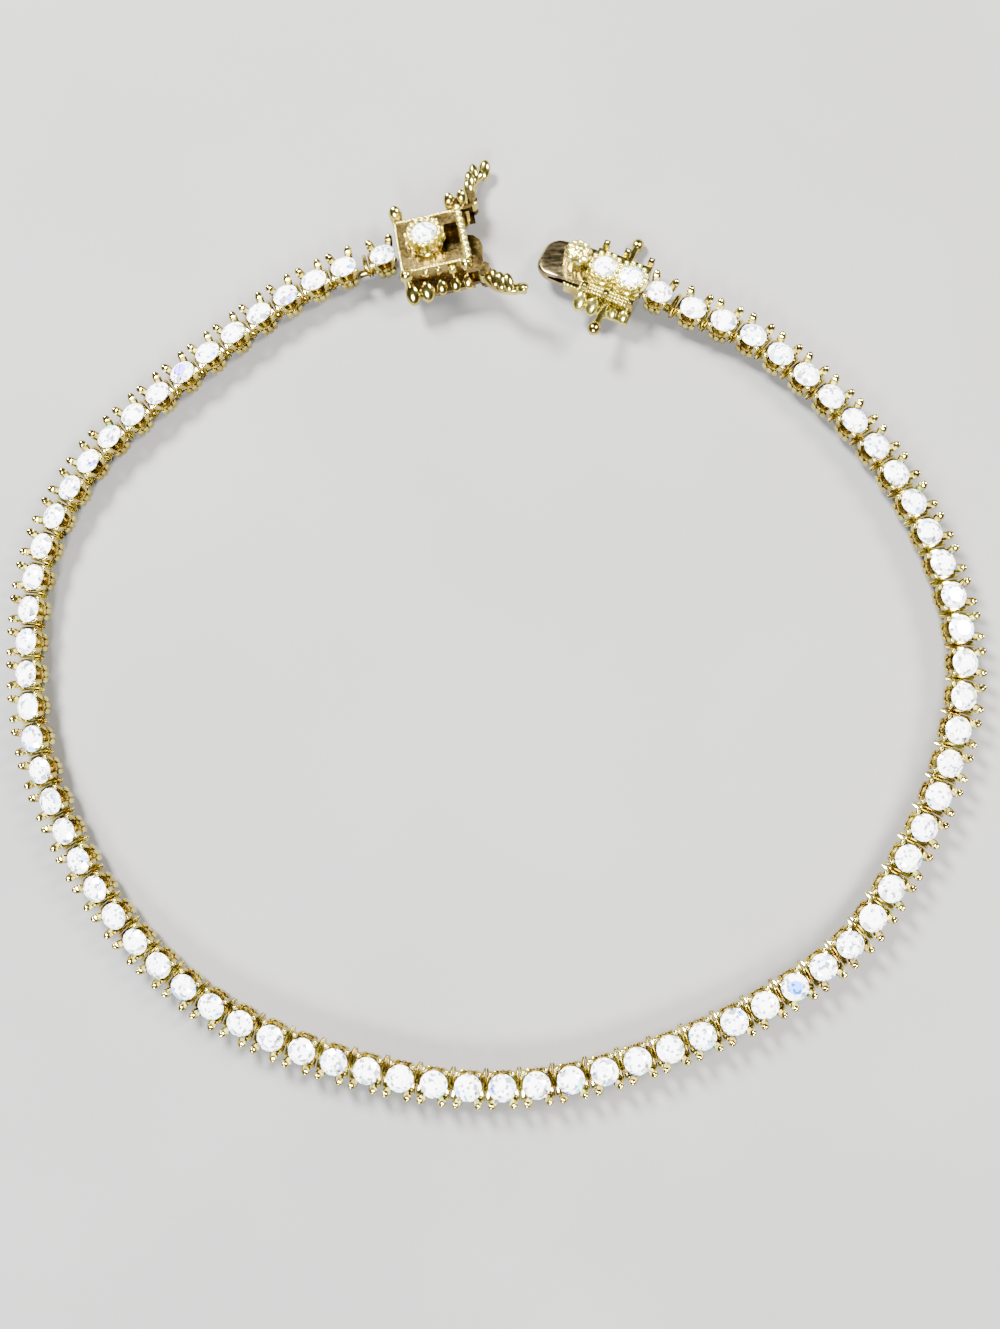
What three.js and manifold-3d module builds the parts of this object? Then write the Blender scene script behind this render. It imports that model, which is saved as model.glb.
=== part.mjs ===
// A tennis bracelet of yellow gold with round white stones, lying open on a flat surface.
// Millimetres, +Z up. The loop lies in the XY plane and the two halves of its clasp meet at +Y.

import * as THREE from "three";
import { mergeVertices } from "three/addons/utils/BufferGeometryUtils.js";
import Module from "manifold-3d";

const wasm = await Module();
wasm.setup();

// Stones of the chain
const stoneDiameter = 1.8;
const tableDiameter = 1.0;
const crownHeight = 0.28;
const pavilionDepth = 0.78;
const girdleHeight = 0.06;

// Links
const linkPitch = 2.24;
const boxEndPlay = 0.6;
const tongueEndPlay = 0.35;
const claspReach = 1.25;
const girdleAboveBase = 1.75;
const colletDepth = 0.62;
const colletFootDiameter = 0.9;
const colletSeat = 0.04;
const stoneSides = 8;
const galleryLength = 1.0;
const galleryWidth = 1.78;
const galleryFootWidth = 1.4;
const galleryHeight = 1.14;
const prongThickness = 0.34;
const prongTipThickness = 0.28;
const prongTipSpacingAlong = 1.54;
const prongTipSpacingAcross = 2.0;
const prongFootSpacingAlong = 0.5;
const prongFootSpacingAcross = 1.3;
const prongTipHeight = 0.26;
const prongFootDepth = 0.78;

// Hinges between links
const hingeDepth = 1.0;
const hingeBarrelDiameter = 0.62;
const hingeWidth = 1.3;
const hingeBarHeight = 0.4;
const hingeSeat = 0.12;

// The three hinges with a loose pin: at the middle of the chain and at the two halves of the clasp
const pinDiameter = 0.3;
const pinClearance = 0.12;
const eyeWall = 0.14;
const eyeWidth = 0.4;
const eyeSides = 8;
const eyeOuterRadius = pinDiameter / 2 + pinClearance + eyeWall;
const earThickness = 0.3;
const earClearance = 0.16;
const earWall = 0.14;

// Box half of the clasp, with a wider gallery at its foot
const boxLength = 4.75;
const boxWidth = 4.4;
const boxHeight = 2.1;
const boxWall = 0.4;
const boxRear = -0.12;
const boxLean = 16;
const boxTurn = -5;
const boxShift = 0.55;
const boxLift = 0.3;
const windowLength = 1.35;
const windowWidth = 2.3;
const frontBarLength = 0.42;
const frontBarRise = 0.14;
const lipLength = 1.0;
const lipWidth = 2.6;
const lipThickness = 0.36;
const lipSides = 6;
const footHeight = 0.8;
const footSpread = 0.3;
const innerFlare = 0.8;
const flareEdge = 0.3;
const grooveHeight = 0.14;
const grooveDepth = 0.14;

// Prong-like corner posts of the clasp
const postThickness = 0.5;
const postTipThickness = 0.4;
const postRise = 0.4;
const postFlare = 0.3;
const postInset = 0.3;

// Round heads of the clasp's own stones
const headWall = 0.14;
const boxHeadHeight = 1.1;
const baseHeadHeight = 0.5;
const headRim = 0.14;
const headSides = 10;
const headStoneGap = 0.05;
const headStoneSides = 12;
const headBoreDepth = 0.95;
const boxHeadPlace = 2.05;

// Tongue half of the clasp
const baseLength = 3.9;
const baseWidth = 3.3;
const baseHeight = 1.6;
const baseRear = -0.12;
const baseLean = 19;
const baseTurn = 3;
const baseShift = 0.25;
const baseLift = 0;
const platformLength = 1.15;
const platformHeight = 0.9;
const baseHeadPlaces = [0.96, 2.82];
const basePostPlaces = [0.2, 1.96, 3.5];

// Folded spring leaf of the tongue
const leafThickness = 0.26;
const leafLength = 2.4;
const leafWidth = 3.1;
const leafGap = 0.2;
const leafRise = 0.35;
const leafLevel = 0.3;
const leafClearance = 0.08;
const leafCorner = 0.7;
const knobDiameter = 1.8;
const knobPlace = 0.9;
const knobHeight = 1.45;
const knobSides = 12;
const knobDome = 0.22;

// Pegs of the tongue half, and the two safety catches that snap over them
const pegPlace = 1.6;
const pegLevel = 1.0;
const innerPegExtra = 0.8;
const pegDiameter = 0.42;
const pegBallDiameter = 0.72;
const pegSides = 8;
const catchReach = 2.85;
const catchGap = 0.1;
const catchThickness = 0.3;
const catchHeight = 0.86;
const catchLevel = 1.3;
const catchBow = 0.34;
const catchTipHook = 0.34;
const catchBarrelWall = 0.17;
const catchPinDiameter = 0.4;
const catchPinClearance = 0.12;
const catchEarThickness = 0.32;
const catchEarClearance = 0.12;
const catchLead = 0.8;
const catchSides = 8;
const catchSteps = 6;
const upperCatchOpening = 68;
const lowerCatchOpening = 47;

// The route of the chain: where the middles of the stones lie, seen from above,
// from the box half of the clasp anticlockwise to the tongue half
const routePoints = [
  [-7.0, 28.1],
  [-9.8, 27.3],
  [-13.8, 25.4],
  [-17.5, 22.8],
  [-22.8, 18.6],
  [-27.5, 14.0],
  [-30.7, 7.9],
  [-31.5, 1.0],
  [-30.7, -5.9],
  [-28.1, -12.2],
  [-24.4, -17.7],
  [-19.4, -22.2],
  [-13.5, -25.3],
  [-7.2, -27.2],
  [-0.8, -28.1],
  [5.7, -27.5],
  [12.3, -25.4],
  [18.1, -22.7],
  [23.7, -18.7],
  [27.3, -13.5],
  [30.1, -7.6],
  [31.4, -1.0],
  [30.3, 5.5],
  [27.5, 11.7],
  [23.5, 17.0],
  [18.5, 21.4],
  [14.3, 23.6],
  [12.0, 24.8],
];

// How far the tops of the links lean outwards along the route, in degrees
const leanAlongRoute = [
  { share: 0.0, lean: 24 },
  { share: 0.16, lean: 22 },
  { share: 0.34, lean: 20 },
  { share: 0.42, lean: 14 },
  { share: 0.5, lean: 3 },
  { share: 0.58, lean: 2 },
  { share: 0.68, lean: 9 },
  { share: 0.8, lean: 17 },
  { share: 1.0, lean: 21 },
];

const routeDivisions = 3000;

// Materials
const goldMaterial = () => new THREE.MeshStandardMaterial({ color: 0xe2b54a, roughness: 0.18, metalness: 1 });
const stoneMaterial = () => new THREE.MeshStandardMaterial({ color: 0xf4f6fa, roughness: 0.04, metalness: 0 });

const radians = THREE.MathUtils.degToRad;

// A closed geometry as a solid
function solidFrom(geometry, matrix = new THREE.Matrix4()) {
  const bare = geometry.clone();
  bare.applyMatrix4(matrix);
  bare.deleteAttribute("normal");
  bare.deleteAttribute("uv");
  const merged = mergeVertices(bare, 1e-5);
  return new wasm.Manifold(
    new wasm.Mesh({
      numProp: 3,
      vertProperties: new Float32Array(merged.attributes.position.array),
      triVerts: new Uint32Array(merged.index.array),
    }),
  );
}

// All the given solids joined, two and two
function joined(solids) {
  if (solids.length === 1) return solids[0];
  const half = Math.ceil(solids.length / 2);
  return joined(solids.slice(0, half)).add(joined(solids.slice(half)));
}

// The faces of a solid as a geometry
function geometryFrom(solid) {
  const faces = solid.getMesh();
  const geometry = new THREE.BufferGeometry();
  geometry.setAttribute("position", new THREE.BufferAttribute(new Float32Array(faces.vertProperties), 3));
  geometry.setIndex(new THREE.BufferAttribute(new Uint32Array(faces.triVerts), 1));
  geometry.computeVertexNormals();
  return geometry;
}

// A named mesh of a geometry, placed by a matrix
function meshFrom(name, geometry, material, matrix = new THREE.Matrix4()) {
  const mesh = new THREE.Mesh(geometry, material);
  mesh.name = name;
  mesh.applyMatrix4(matrix);
  return mesh;
}

// A solid moved along the axes
function moved(solid, x, y, z) {
  return solidFrom(geometryFrom(solid), new THREE.Matrix4().makeTranslation(x, y, z));
}

// A box between two corners
function block(x0, x1, y0, y1, z0, z1) {
  const geometry = new THREE.BoxGeometry(x1 - x0, y1 - y0, z1 - z0);
  geometry.translate((x0 + x1) / 2, (y0 + y1) / 2, (z0 + z1) / 2);
  return geometry;
}

// A round bar along X, Y or Z, between two places on that axis, with a flat side facing each way
function bar(axis, radius, from, to, sides, radiusTo = radius) {
  const geometry = new THREE.CylinderGeometry(radiusTo, radius, to - from, sides, 1);
  geometry.rotateY(Math.PI / sides);
  geometry.translate(0, (from + to) / 2, 0);
  if (axis === "x") geometry.rotateZ(-Math.PI / 2);
  if (axis === "z") geometry.rotateX(Math.PI / 2);
  return geometry;
}

// A four-sided post that tapers from a foot to a tip, with its flat sides facing along and across
function taperedPost(foot, tip, footThickness, tipThickness) {
  const geometry = new THREE.BoxGeometry(1, 1, 1);
  const corners = geometry.attributes.position;
  for (let index = 0; index < corners.count; index += 1) {
    const atTip = corners.getZ(index) > 0;
    const end = atTip ? tip : foot;
    const thickness = atTip ? tipThickness : footThickness;
    corners.setXYZ(index, end.x + corners.getX(index) * thickness, end.y + corners.getY(index) * thickness, end.z);
  }
  return geometry;
}

// A turned shape about Z from [radius, height] pairs that start and end on the axis
function turned(profile, sides) {
  const points = profile.map(([radius, height]) => new THREE.Vector2(radius, height));
  const geometry = new THREE.LatheGeometry(points, sides, Math.PI / sides);
  geometry.rotateX(Math.PI / 2);
  return geometry;
}

// A plate cut to an outline in XY, between two heights
function plate(outline, z0, z1) {
  const shape = new THREE.Shape(outline.map(([x, y]) => new THREE.Vector2(x, y)));
  const geometry = new THREE.ExtrudeGeometry(shape, { depth: z1 - z0, bevelEnabled: false });
  geometry.translate(0, 0, z0);
  return geometry;
}

// An outline in XZ carried across, from -width / 2 to width / 2 along Y
function carriedAcross(outline, width) {
  const shape = new THREE.Shape(outline.map(([x, z]) => new THREE.Vector2(x, z)));
  const geometry = new THREE.ExtrudeGeometry(shape, { depth: width, bevelEnabled: false });
  geometry.rotateX(Math.PI / 2);
  geometry.translate(0, width / 2, 0);
  return geometry;
}

// The stone in its collet, as one turned shape: foot, collet, girdle edge, crown and table
function stoneInCollet() {
  return solidFrom(
    turned(
      [
        [0, -colletDepth - colletSeat],
        [colletFootDiameter / 2, -colletDepth - colletSeat],
        [stoneDiameter / 2, 0],
        [tableDiameter / 2, crownHeight],
        [0, crownHeight],
      ],
      stoneSides,
    ),
  );
}

// The gallery under the collet, a block that narrows to its foot
function gallery() {
  const top = -girdleAboveBase + galleryHeight;
  const wide = galleryWidth / 2;
  const foot = galleryFootWidth / 2;
  const outline = [
    [-foot, -girdleAboveBase],
    [foot, -girdleAboveBase],
    [wide, top],
    [-wide, top],
  ];
  const turnAcross = new THREE.Matrix4().makeRotationZ(Math.PI / 2);
  return solidFrom(carriedAcross(outline, galleryLength), turnAcross);
}

// The four prongs of one link
function prongs() {
  const made = [];
  for (const along of [-1, 1]) {
    for (const across of [-1, 1]) {
      const foot = new THREE.Vector3(
        (along * prongFootSpacingAlong) / 2,
        (across * prongFootSpacingAcross) / 2,
        -prongFootDepth,
      );
      const tip = new THREE.Vector3(
        (along * prongTipSpacingAlong) / 2,
        (across * prongTipSpacingAcross) / 2,
        prongTipHeight,
      );
      made.push(solidFrom(taperedPost(foot, tip, prongThickness, prongTipThickness)));
    }
  }
  return joined(made);
}

// The hinge that holds a link to the next one, which lies at `distance` along X: its barrel is thickest
// halfway, and its ends are seated in the two galleries
function hingeToNext(distance) {
  const ends = [galleryLength / 2 - hingeSeat, distance - galleryLength / 2 + hingeSeat];
  const outline = [
    [ends[0], -hingeDepth - hingeBarHeight / 2],
    [distance / 2, -hingeDepth - hingeBarrelDiameter / 2],
    [ends[1], -hingeDepth - hingeBarHeight / 2],
    [ends[1], -hingeDepth + hingeBarHeight / 2],
    [distance / 2, -hingeDepth + hingeBarrelDiameter / 2],
    [ends[0], -hingeDepth + hingeBarHeight / 2],
  ];
  return solidFrom(carriedAcross(outline, hingeWidth));
}

// The bar and eye with which a link takes a loose pin, `reach` along X from its middle
function hingeEye(reach) {
  const ring = bar("y", eyeOuterRadius, -eyeWidth / 2, eyeWidth / 2, eyeSides);
  const hole = bar("y", pinDiameter / 2 + pinClearance, -eyeWidth, eyeWidth, eyeSides);
  ring.translate(reach, 0, -hingeDepth);
  hole.translate(reach, 0, -hingeDepth);
  const half = hingeBarHeight / 2;
  const ends = [0, reach].sort((a, b) => a - b);
  const arm = block(ends[0], ends[1], -eyeWidth / 2, eyeWidth / 2, -hingeDepth - half, -hingeDepth + half);
  return solidFrom(ring).add(solidFrom(arm)).subtract(solidFrom(hole));
}

// Two ears with a pin across them at the origin, joined to a gallery that starts at `setback` along X
function hingeFork(setback) {
  const radius = pinDiameter / 2 + earWall;
  const inner = eyeWidth / 2 + earClearance;
  const made = [solidFrom(bar("y", pinDiameter / 2, -inner - earThickness / 2, inner + earThickness / 2, eyeSides))];
  for (const side of [-1, 1]) {
    const y0 = Math.min(side * inner, side * (inner + earThickness));
    const y1 = y0 + earThickness;
    made.push(solidFrom(bar("y", radius, y0, y1, eyeSides)));
    made.push(solidFrom(block(0, setback + hingeSeat, y0, y1, -hingeBarHeight / 2, hingeBarHeight / 2)));
  }
  return joined(made);
}

// What is taken out of a half of the clasp for the eye of the chain, round its pin
function eyeSlot(rear, pin) {
  const radius = eyeOuterRadius + earClearance;
  const half = eyeWidth / 2 + earClearance;
  return solidFrom(block(rear - 1, radius, pin.y - half, pin.y + half, pin.z - radius, pin.z + radius));
}

// The pin across that slot
function slotPin(pin) {
  const reach = eyeWidth / 2 + earClearance + earThickness / 2;
  const rod = bar("y", pinDiameter / 2, pin.y - reach, pin.y + reach, eyeSides);
  rod.translate(0, 0, pin.z);
  return solidFrom(rod);
}

// One link without its hinges
const plainLink = stoneInCollet().add(gallery()).add(prongs());

// The route of the chain as a curve
function chainRoute() {
  const points = routePoints.map(([x, y]) => new THREE.Vector3(x, y, 0));
  const route = new THREE.CatmullRomCurve3(points, false, "catmullrom", 0.5);
  route.arcLengthDivisions = routeDivisions;
  return route;
}

// The lean at a share of the route's length, in degrees
function leanAt(share) {
  const rows = leanAlongRoute;
  const after = rows.findIndex((row) => row.share >= share);
  if (after <= 0) return rows[after === 0 ? 0 : rows.length - 1].lean;
  const before = rows[after - 1];
  const part = (share - before.share) / (rows[after].share - before.share);
  return THREE.MathUtils.lerp(before.lean, rows[after].lean, part);
}

// Distances of the links along the route: even steps, with a little more play at both ends
function linkDistances(length) {
  const steps = Math.round((length - boxEndPlay - tongueEndPlay) / linkPitch);
  const pitch = (length - boxEndPlay - tongueEndPlay) / steps;
  const distances = [0];
  for (let step = 1; step <= steps; step += 1) {
    const play = step === steps ? boxEndPlay + tongueEndPlay : boxEndPlay;
    distances.push(step * pitch + play);
  }
  return distances;
}

// Where each link lies: its middle at the stone, X along the route, the top leaning outwards
function linkFrames() {
  const route = chainRoute();
  const length = route.getLength();
  return linkDistances(length).map((distance) => {
    const share = Math.min(distance / length, 1);
    const place = route.getPointAt(share);
    const along = route.getTangentAt(share);
    const lean = radians(leanAt(share));
    const height = girdleAboveBase * Math.cos(lean) + (galleryFootWidth / 2) * Math.sin(Math.abs(lean));
    const frame = new THREE.Matrix4()
      .makeTranslation(place.x, place.y, height)
      .multiply(new THREE.Matrix4().makeRotationZ(Math.atan2(along.y, along.x)))
      .multiply(new THREE.Matrix4().makeRotationX(lean));
    return { frame, place: new THREE.Vector3(place.x, place.y, height), heading: Math.atan2(along.y, along.x) };
  });
}

// One half of the chain, fused through its hinges. It is made straight along X and then laid down:
// every corner goes where its own link lies.
function chainHalf(frames, ends) {
  const places = [0];
  for (let number = 1; number < frames.length; number += 1) {
    places.push(places[number - 1] + frames[number].place.distanceTo(frames[number - 1].place));
  }
  const made = places.map((place) => moved(plainLink, place, 0, 0));
  for (let number = 1; number < places.length; number += 1) {
    made.push(moved(hingeToNext(places[number] - places[number - 1]), places[number - 1], 0, 0));
  }
  made.push(moved(ends.before, places[0], 0, 0), moved(ends.after, places[places.length - 1], 0, 0));
  const laid = geometryFrom(joined(made));
  const corners = laid.attributes.position;
  for (let index = 0; index < corners.count; index += 1) {
    const along = corners.getX(index);
    const next = places.findIndex((place) => place > along);
    const before = next === -1 ? places.length - 1 : Math.max(next - 1, 0);
    const after = next === -1 ? before : next;
    const own = along - places[before] < places[after] - along ? before : after;
    const corner = new THREE.Vector3(along - places[own], corners.getY(index), corners.getZ(index));
    corner.applyMatrix4(frames[own].frame);
    corners.setXYZ(index, corner.x, corner.y, corner.z);
  }
  laid.computeVertexNormals();
  return laid;
}

// The fork with which the second half of the chain holds the eye of the first half
function forkOnLink() {
  const fork = hingeFork(linkPitch / 2 - galleryLength / 2);
  return moved(fork, -linkPitch / 2, 0, -hingeDepth);
}

// A round head for a stone, standing on a top at `level`
function stoneHead(x, level, height) {
  const cup = bar("z", stoneDiameter / 2 + headStoneGap + headWall, level - boxWall, level + height, headSides);
  cup.translate(x, 0, 0);
  return solidFrom(cup);
}

// What is taken out of a head for its stone
function headBore(x, level, height) {
  const top = level + height;
  const bore = bar("z", stoneDiameter / 2 + headStoneGap, top - headRim - headBoreDepth, top + 1, headSides);
  bore.translate(x, 0, 0);
  return solidFrom(bore);
}

// A cut stone: table and crown facets, girdle and pavilion, with its girdle at `level`
function cutStone(x, level) {
  const radius = stoneDiameter / 2;
  const table = tableDiameter / 2;
  const made = turned(
    [
      [0, level - pavilionDepth],
      [radius, level - girdleHeight / 2],
      [radius, level + girdleHeight / 2],
      [table, level + crownHeight],
      [0, level + crownHeight],
    ],
    headStoneSides,
  );
  made.translate(x, 0, 0);
  return solidFrom(made);
}

// A pair of posts, one at each side of the clasp, that flare outwards to prong-like tips
function postPair(x, halfWidth, height) {
  const made = [];
  for (const side of [-1, 1]) {
    const foot = new THREE.Vector3(x, side * (halfWidth - postThickness / 4), footHeight / 2);
    const tip = new THREE.Vector3(x, side * (halfWidth + postFlare), height + postRise);
    made.push(solidFrom(taperedPost(foot, tip, postThickness, postTipThickness)));
  }
  return joined(made);
}

// Where the safety catches turn, in the frame of the box
const boxFront = boxRear + boxLength;
const catchOuterRadius = catchPinDiameter / 2 + catchPinClearance + catchBarrelWall;
const catchPivotX = boxFront + catchLead;
const catchPivotY = boxWidth / 2 + footSpread + catchGap + catchOuterRadius;

// Two ears with a pin between them for one safety catch
function catchEars(side) {
  const low = catchLevel - catchHeight / 2 - catchEarClearance - catchEarThickness;
  const high = catchLevel + catchHeight / 2 + catchEarClearance;
  const pin = bar("z", catchPinDiameter / 2, low + 0.1, high + catchEarThickness - 0.1, pegSides);
  pin.translate(catchPivotX, side * catchPivotY, 0);
  const made = [solidFrom(pin)];
  const reach = catchOuterRadius * 0.9;
  for (const level of [low, high]) {
    const round = bar("z", reach, level, level + catchEarThickness, pegSides);
    round.translate(catchPivotX, side * catchPivotY, 0);
    made.push(solidFrom(round));
    const inner = side * (boxWidth / 2 - boxWall / 2);
    const ends = [inner, side * catchPivotY].sort((a, b) => a - b);
    const arm = block(boxFront - boxWall, catchPivotX + 0.05, ends[0], ends[1], level, level + catchEarThickness);
    made.push(solidFrom(arm));
  }
  return joined(made);
}

// The outer form of a half of the clasp: a body over a wider foot, with a groove between them, and
// a flare at the foot of its inner side, which `inner` gives as +1 or -1 along Y
function steppedBody(from, to, halfWidth, height, inner) {
  const wide = halfWidth + footSpread;
  const grooved = halfWidth - grooveDepth;
  const flared = halfWidth + innerFlare;
  const outline = [
    [-wide, 0],
    [flared, 0],
    [flared, flareEdge],
    [grooved, footHeight],
    [grooved, footHeight + grooveHeight],
    [halfWidth, footHeight + grooveHeight],
    [halfWidth, height],
    [-halfWidth, height],
    [-halfWidth, footHeight + grooveHeight],
    [-grooved, footHeight + grooveHeight],
    [-grooved, footHeight],
    [-wide, footHeight],
  ];
  const turnAcross = new THREE.Matrix4()
    .makeTranslation((from + to) / 2, 0, 0)
    .multiply(new THREE.Matrix4().makeRotationZ((inner * Math.PI) / 2));
  return solidFrom(carriedAcross(outline, to - from), turnAcross);
}

// The housing of the box half of the clasp
function claspBox(pin) {
  const half = boxWidth / 2;
  const headX = boxRear + boxHeadPlace;
  const rear = headX + stoneDiameter / 2 + headWall;
  const inside = half - boxWall;
  const cavity = solidFrom(block(rear, boxFront + 1, -inside, inside, boxWall, boxHeight - boxWall));
  const windowFront = boxFront - frontBarLength;
  const window = solidFrom(
    block(windowFront - windowLength, windowFront, -windowWidth / 2, windowWidth / 2, boxHeight / 2, boxHeight + 1),
  );
  const frontBar = solidFrom(
    block(windowFront, boxFront, -half, half, boxHeight - boxWall, boxHeight + frontBarRise),
  );
  const shell = steppedBody(boxRear, boxFront, half, boxHeight, -1).subtract(cavity).subtract(window);
  const made = [shell, frontBar, frontLip(), stoneHead(headX, boxHeight, boxHeadHeight)];
  made.push(postPair(boxRear + postInset, half, boxHeight));
  made.push(postPair(boxFront - postInset, half, boxHeight));
  made.push(catchEars(-1), catchEars(1));
  const hollow = headBore(headX, boxHeight, boxHeadHeight).add(eyeSlot(boxRear, pin));
  return joined(made).subtract(hollow).add(slotPin(pin));
}

// The rounded lip of the box's floor, in front of its mouth
function frontLip() {
  const outline = [[boxFront - boxWall, -lipWidth / 2]];
  for (let step = 0; step <= lipSides; step += 1) {
    const turn = -Math.PI / 2 + (Math.PI * step) / lipSides;
    outline.push([boxFront + lipLength * Math.cos(turn), (lipWidth / 2) * Math.sin(turn)]);
  }
  outline.push([boxFront - boxWall, lipWidth / 2]);
  return solidFrom(plate(outline, 0, lipThickness));
}

// The middle line of a safety catch from its pivot to its tip, bowed outwards and hooked back
function catchLine(outward) {
  const line = [];
  for (let step = 0; step <= catchSteps; step += 1) {
    const part = step / catchSteps;
    const bow = catchBow * Math.sin(Math.PI * part) - catchTipHook * part ** 3;
    line.push(new THREE.Vector2(catchReach * part, outward * bow));
  }
  return line;
}

// One safety catch, closed along X from its pivot at the origin: barrel, bowed strip and eye
function safetyCatch(outward) {
  const half = catchHeight / 2;
  const line = catchLine(outward);
  const left = line.map((point, index) => {
    const next = line[Math.min(index + 1, line.length - 1)];
    const last = line[Math.max(index - 1, 0)];
    const across = new THREE.Vector2().subVectors(next, last).normalize().multiplyScalar(catchThickness / 2);
    return [point.x - across.y, point.y + across.x];
  });
  const right = line.map((point, index) => [2 * point.x - left[index][0], 2 * point.y - left[index][1]]);
  const strip = solidFrom(plate([...right, ...left.reverse()], -half, half));
  const barrel = solidFrom(bar("z", catchOuterRadius, -half, half, catchSides));
  const hole = solidFrom(bar("z", catchPinDiameter / 2 + catchPinClearance, -half - 1, half + 1, catchSides));
  const tip = line[line.length - 1];
  const eyeRadius = pegDiameter / 2 + catchPinClearance + catchBarrelWall;
  const eye = bar("y", eyeRadius, -catchThickness / 2, catchThickness / 2, catchSides);
  const eyeHole = bar("y", pegDiameter / 2 + catchPinClearance, -catchThickness * 2, catchThickness * 2, pegSides);
  eye.translate(tip.x, tip.y, 0);
  eyeHole.translate(tip.x, tip.y, 0);
  return strip.add(barrel).add(solidFrom(eye)).subtract(hole).subtract(solidFrom(eyeHole));
}

// Where the parts of the tongue half lie along it
const baseFront = baseRear + baseLength;
const platformFront = baseFront + platformLength;
const leafTip = platformFront + leafLength;

// The link-like body of the tongue half: two stone heads, posts, pegs and the platform of the leaf
function tongueBase(pin) {
  const half = baseWidth / 2;
  const made = [steppedBody(baseRear, baseFront, half, baseHeight, 1)];
  made.push(solidFrom(block(baseFront - boxWall, platformFront, -half, half, 0, platformHeight)));
  for (const place of baseHeadPlaces) made.push(stoneHead(baseRear + place, baseHeight, baseHeadHeight));
  for (const place of basePostPlaces) made.push(postPair(baseRear + place, half, baseHeight));
  made.push(pegs());
  const slotHalf = leafWidth / 2 + leafClearance;
  const slot = block(
    baseFront,
    platformFront + 1,
    -slotHalf,
    slotHalf,
    leafLevel - leafClearance,
    leafLevel + leafThickness + leafClearance,
  );
  let hollow = solidFrom(slot).add(eyeSlot(baseRear, pin));
  for (const place of baseHeadPlaces) hollow = hollow.add(headBore(baseRear + place, baseHeight, baseHeadHeight));
  return joined(made).subtract(hollow).add(slotPin(pin));
}

// The two pegs with ball ends that the catches snap over
function pegs() {
  const outer = -catchPivotY - catchThickness;
  const inner = catchPivotY + catchThickness + innerPegExtra;
  const made = [];
  const shaft = bar("y", pegDiameter / 2, outer, inner, pegSides);
  shaft.translate(pegPlace, 0, pegLevel);
  made.push(solidFrom(shaft));
  for (const end of [outer, inner]) {
    const ball = new THREE.SphereGeometry(pegBallDiameter / 2, pegSides, 5);
    ball.translate(pegPlace, end, pegLevel);
    made.push(solidFrom(ball));
  }
  return joined(made);
}

// The folded spring leaf, with the knob that is pressed to free it
function tongueLeaf() {
  const floor = leafLevel;
  const top = floor + leafThickness;
  const upper = top + leafGap;
  const rear = baseFront + leafClearance;
  const kneeX = platformFront + 0.15;
  const outline = [
    [rear, floor],
    [leafTip - leafThickness, floor],
    [leafTip, floor + leafThickness],
    [leafTip, upper],
    [leafTip - leafThickness, upper + leafThickness],
    [kneeX, upper + leafThickness + leafRise * 0.75],
    [rear, upper + leafThickness + leafRise],
    [rear, upper + leafRise],
    [kneeX, upper + leafRise * 0.75],
    [leafTip - leafThickness, upper],
    [leafTip - leafThickness, top],
    [rear, top],
  ];
  const strip = solidFrom(carriedAcross(outline, leafWidth));
  const half = leafWidth / 2;
  const trimmed = plate(
    [
      [rear - 1, -half - 1],
      [platformFront, -half - 1],
      [platformFront, -half],
      [leafTip - leafCorner, -half],
      [leafTip + 0.01, -half + leafCorner],
      [leafTip + 0.01, half - leafCorner],
      [leafTip - leafCorner, half],
      [platformFront, half],
      [platformFront, half + 1],
      [rear - 1, half + 1],
    ],
    -1,
    boxHeight,
  );
  const knobFoot = upper + leafThickness / 2 + leafRise * 0.75;
  const radius = knobDiameter / 2;
  const knob = turned(
    [
      [0, knobFoot],
      [radius, knobFoot],
      [radius, knobFoot + knobHeight],
      [radius * 0.7, knobFoot + knobHeight + knobDome],
      [0, knobFoot + knobHeight + knobDome],
    ],
    knobSides,
  );
  knob.translate(rear + knobPlace, 0, 0);
  return strip.intersect(solidFrom(trimmed)).add(solidFrom(knob));
}

// The frame of a half of the clasp: its pin at the end hinge of the chain, its foot on the ground
function claspFrame(link, side, { turn, lean, width, shift, lift }) {
  const hinge = new THREE.Vector3(side * claspReach, 0, -hingeDepth).applyMatrix4(link.frame);
  const slope = radians(lean);
  const outerEdge = width / 2 + footSpread - shift;
  const pin = new THREE.Vector3(0, -side * shift, (hinge.z - lift - outerEdge * Math.sin(slope)) / Math.cos(slope));
  const heading = link.heading + (side < 0 ? Math.PI : 0) + radians(turn);
  const matrix = new THREE.Matrix4()
    .makeTranslation(hinge.x, hinge.y, hinge.z)
    .multiply(new THREE.Matrix4().makeRotationZ(heading))
    .multiply(new THREE.Matrix4().makeRotationX(side * slope))
    .multiply(new THREE.Matrix4().makeTranslation(0, -pin.y, -pin.z));
  return { matrix, pin };
}

// A safety catch at its pivot on the box, opened as it lies
function placedCatch(name, outward, opening, boxMatrix) {
  const place = new THREE.Matrix4()
    .makeTranslation(catchPivotX, outward * catchPivotY, catchLevel)
    .multiply(new THREE.Matrix4().makeRotationZ(outward * radians(opening)));
  const geometry = geometryFrom(safetyCatch(outward));
  return meshFrom(name, geometry, goldMaterial(), boxMatrix.clone().multiply(place));
}

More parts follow.
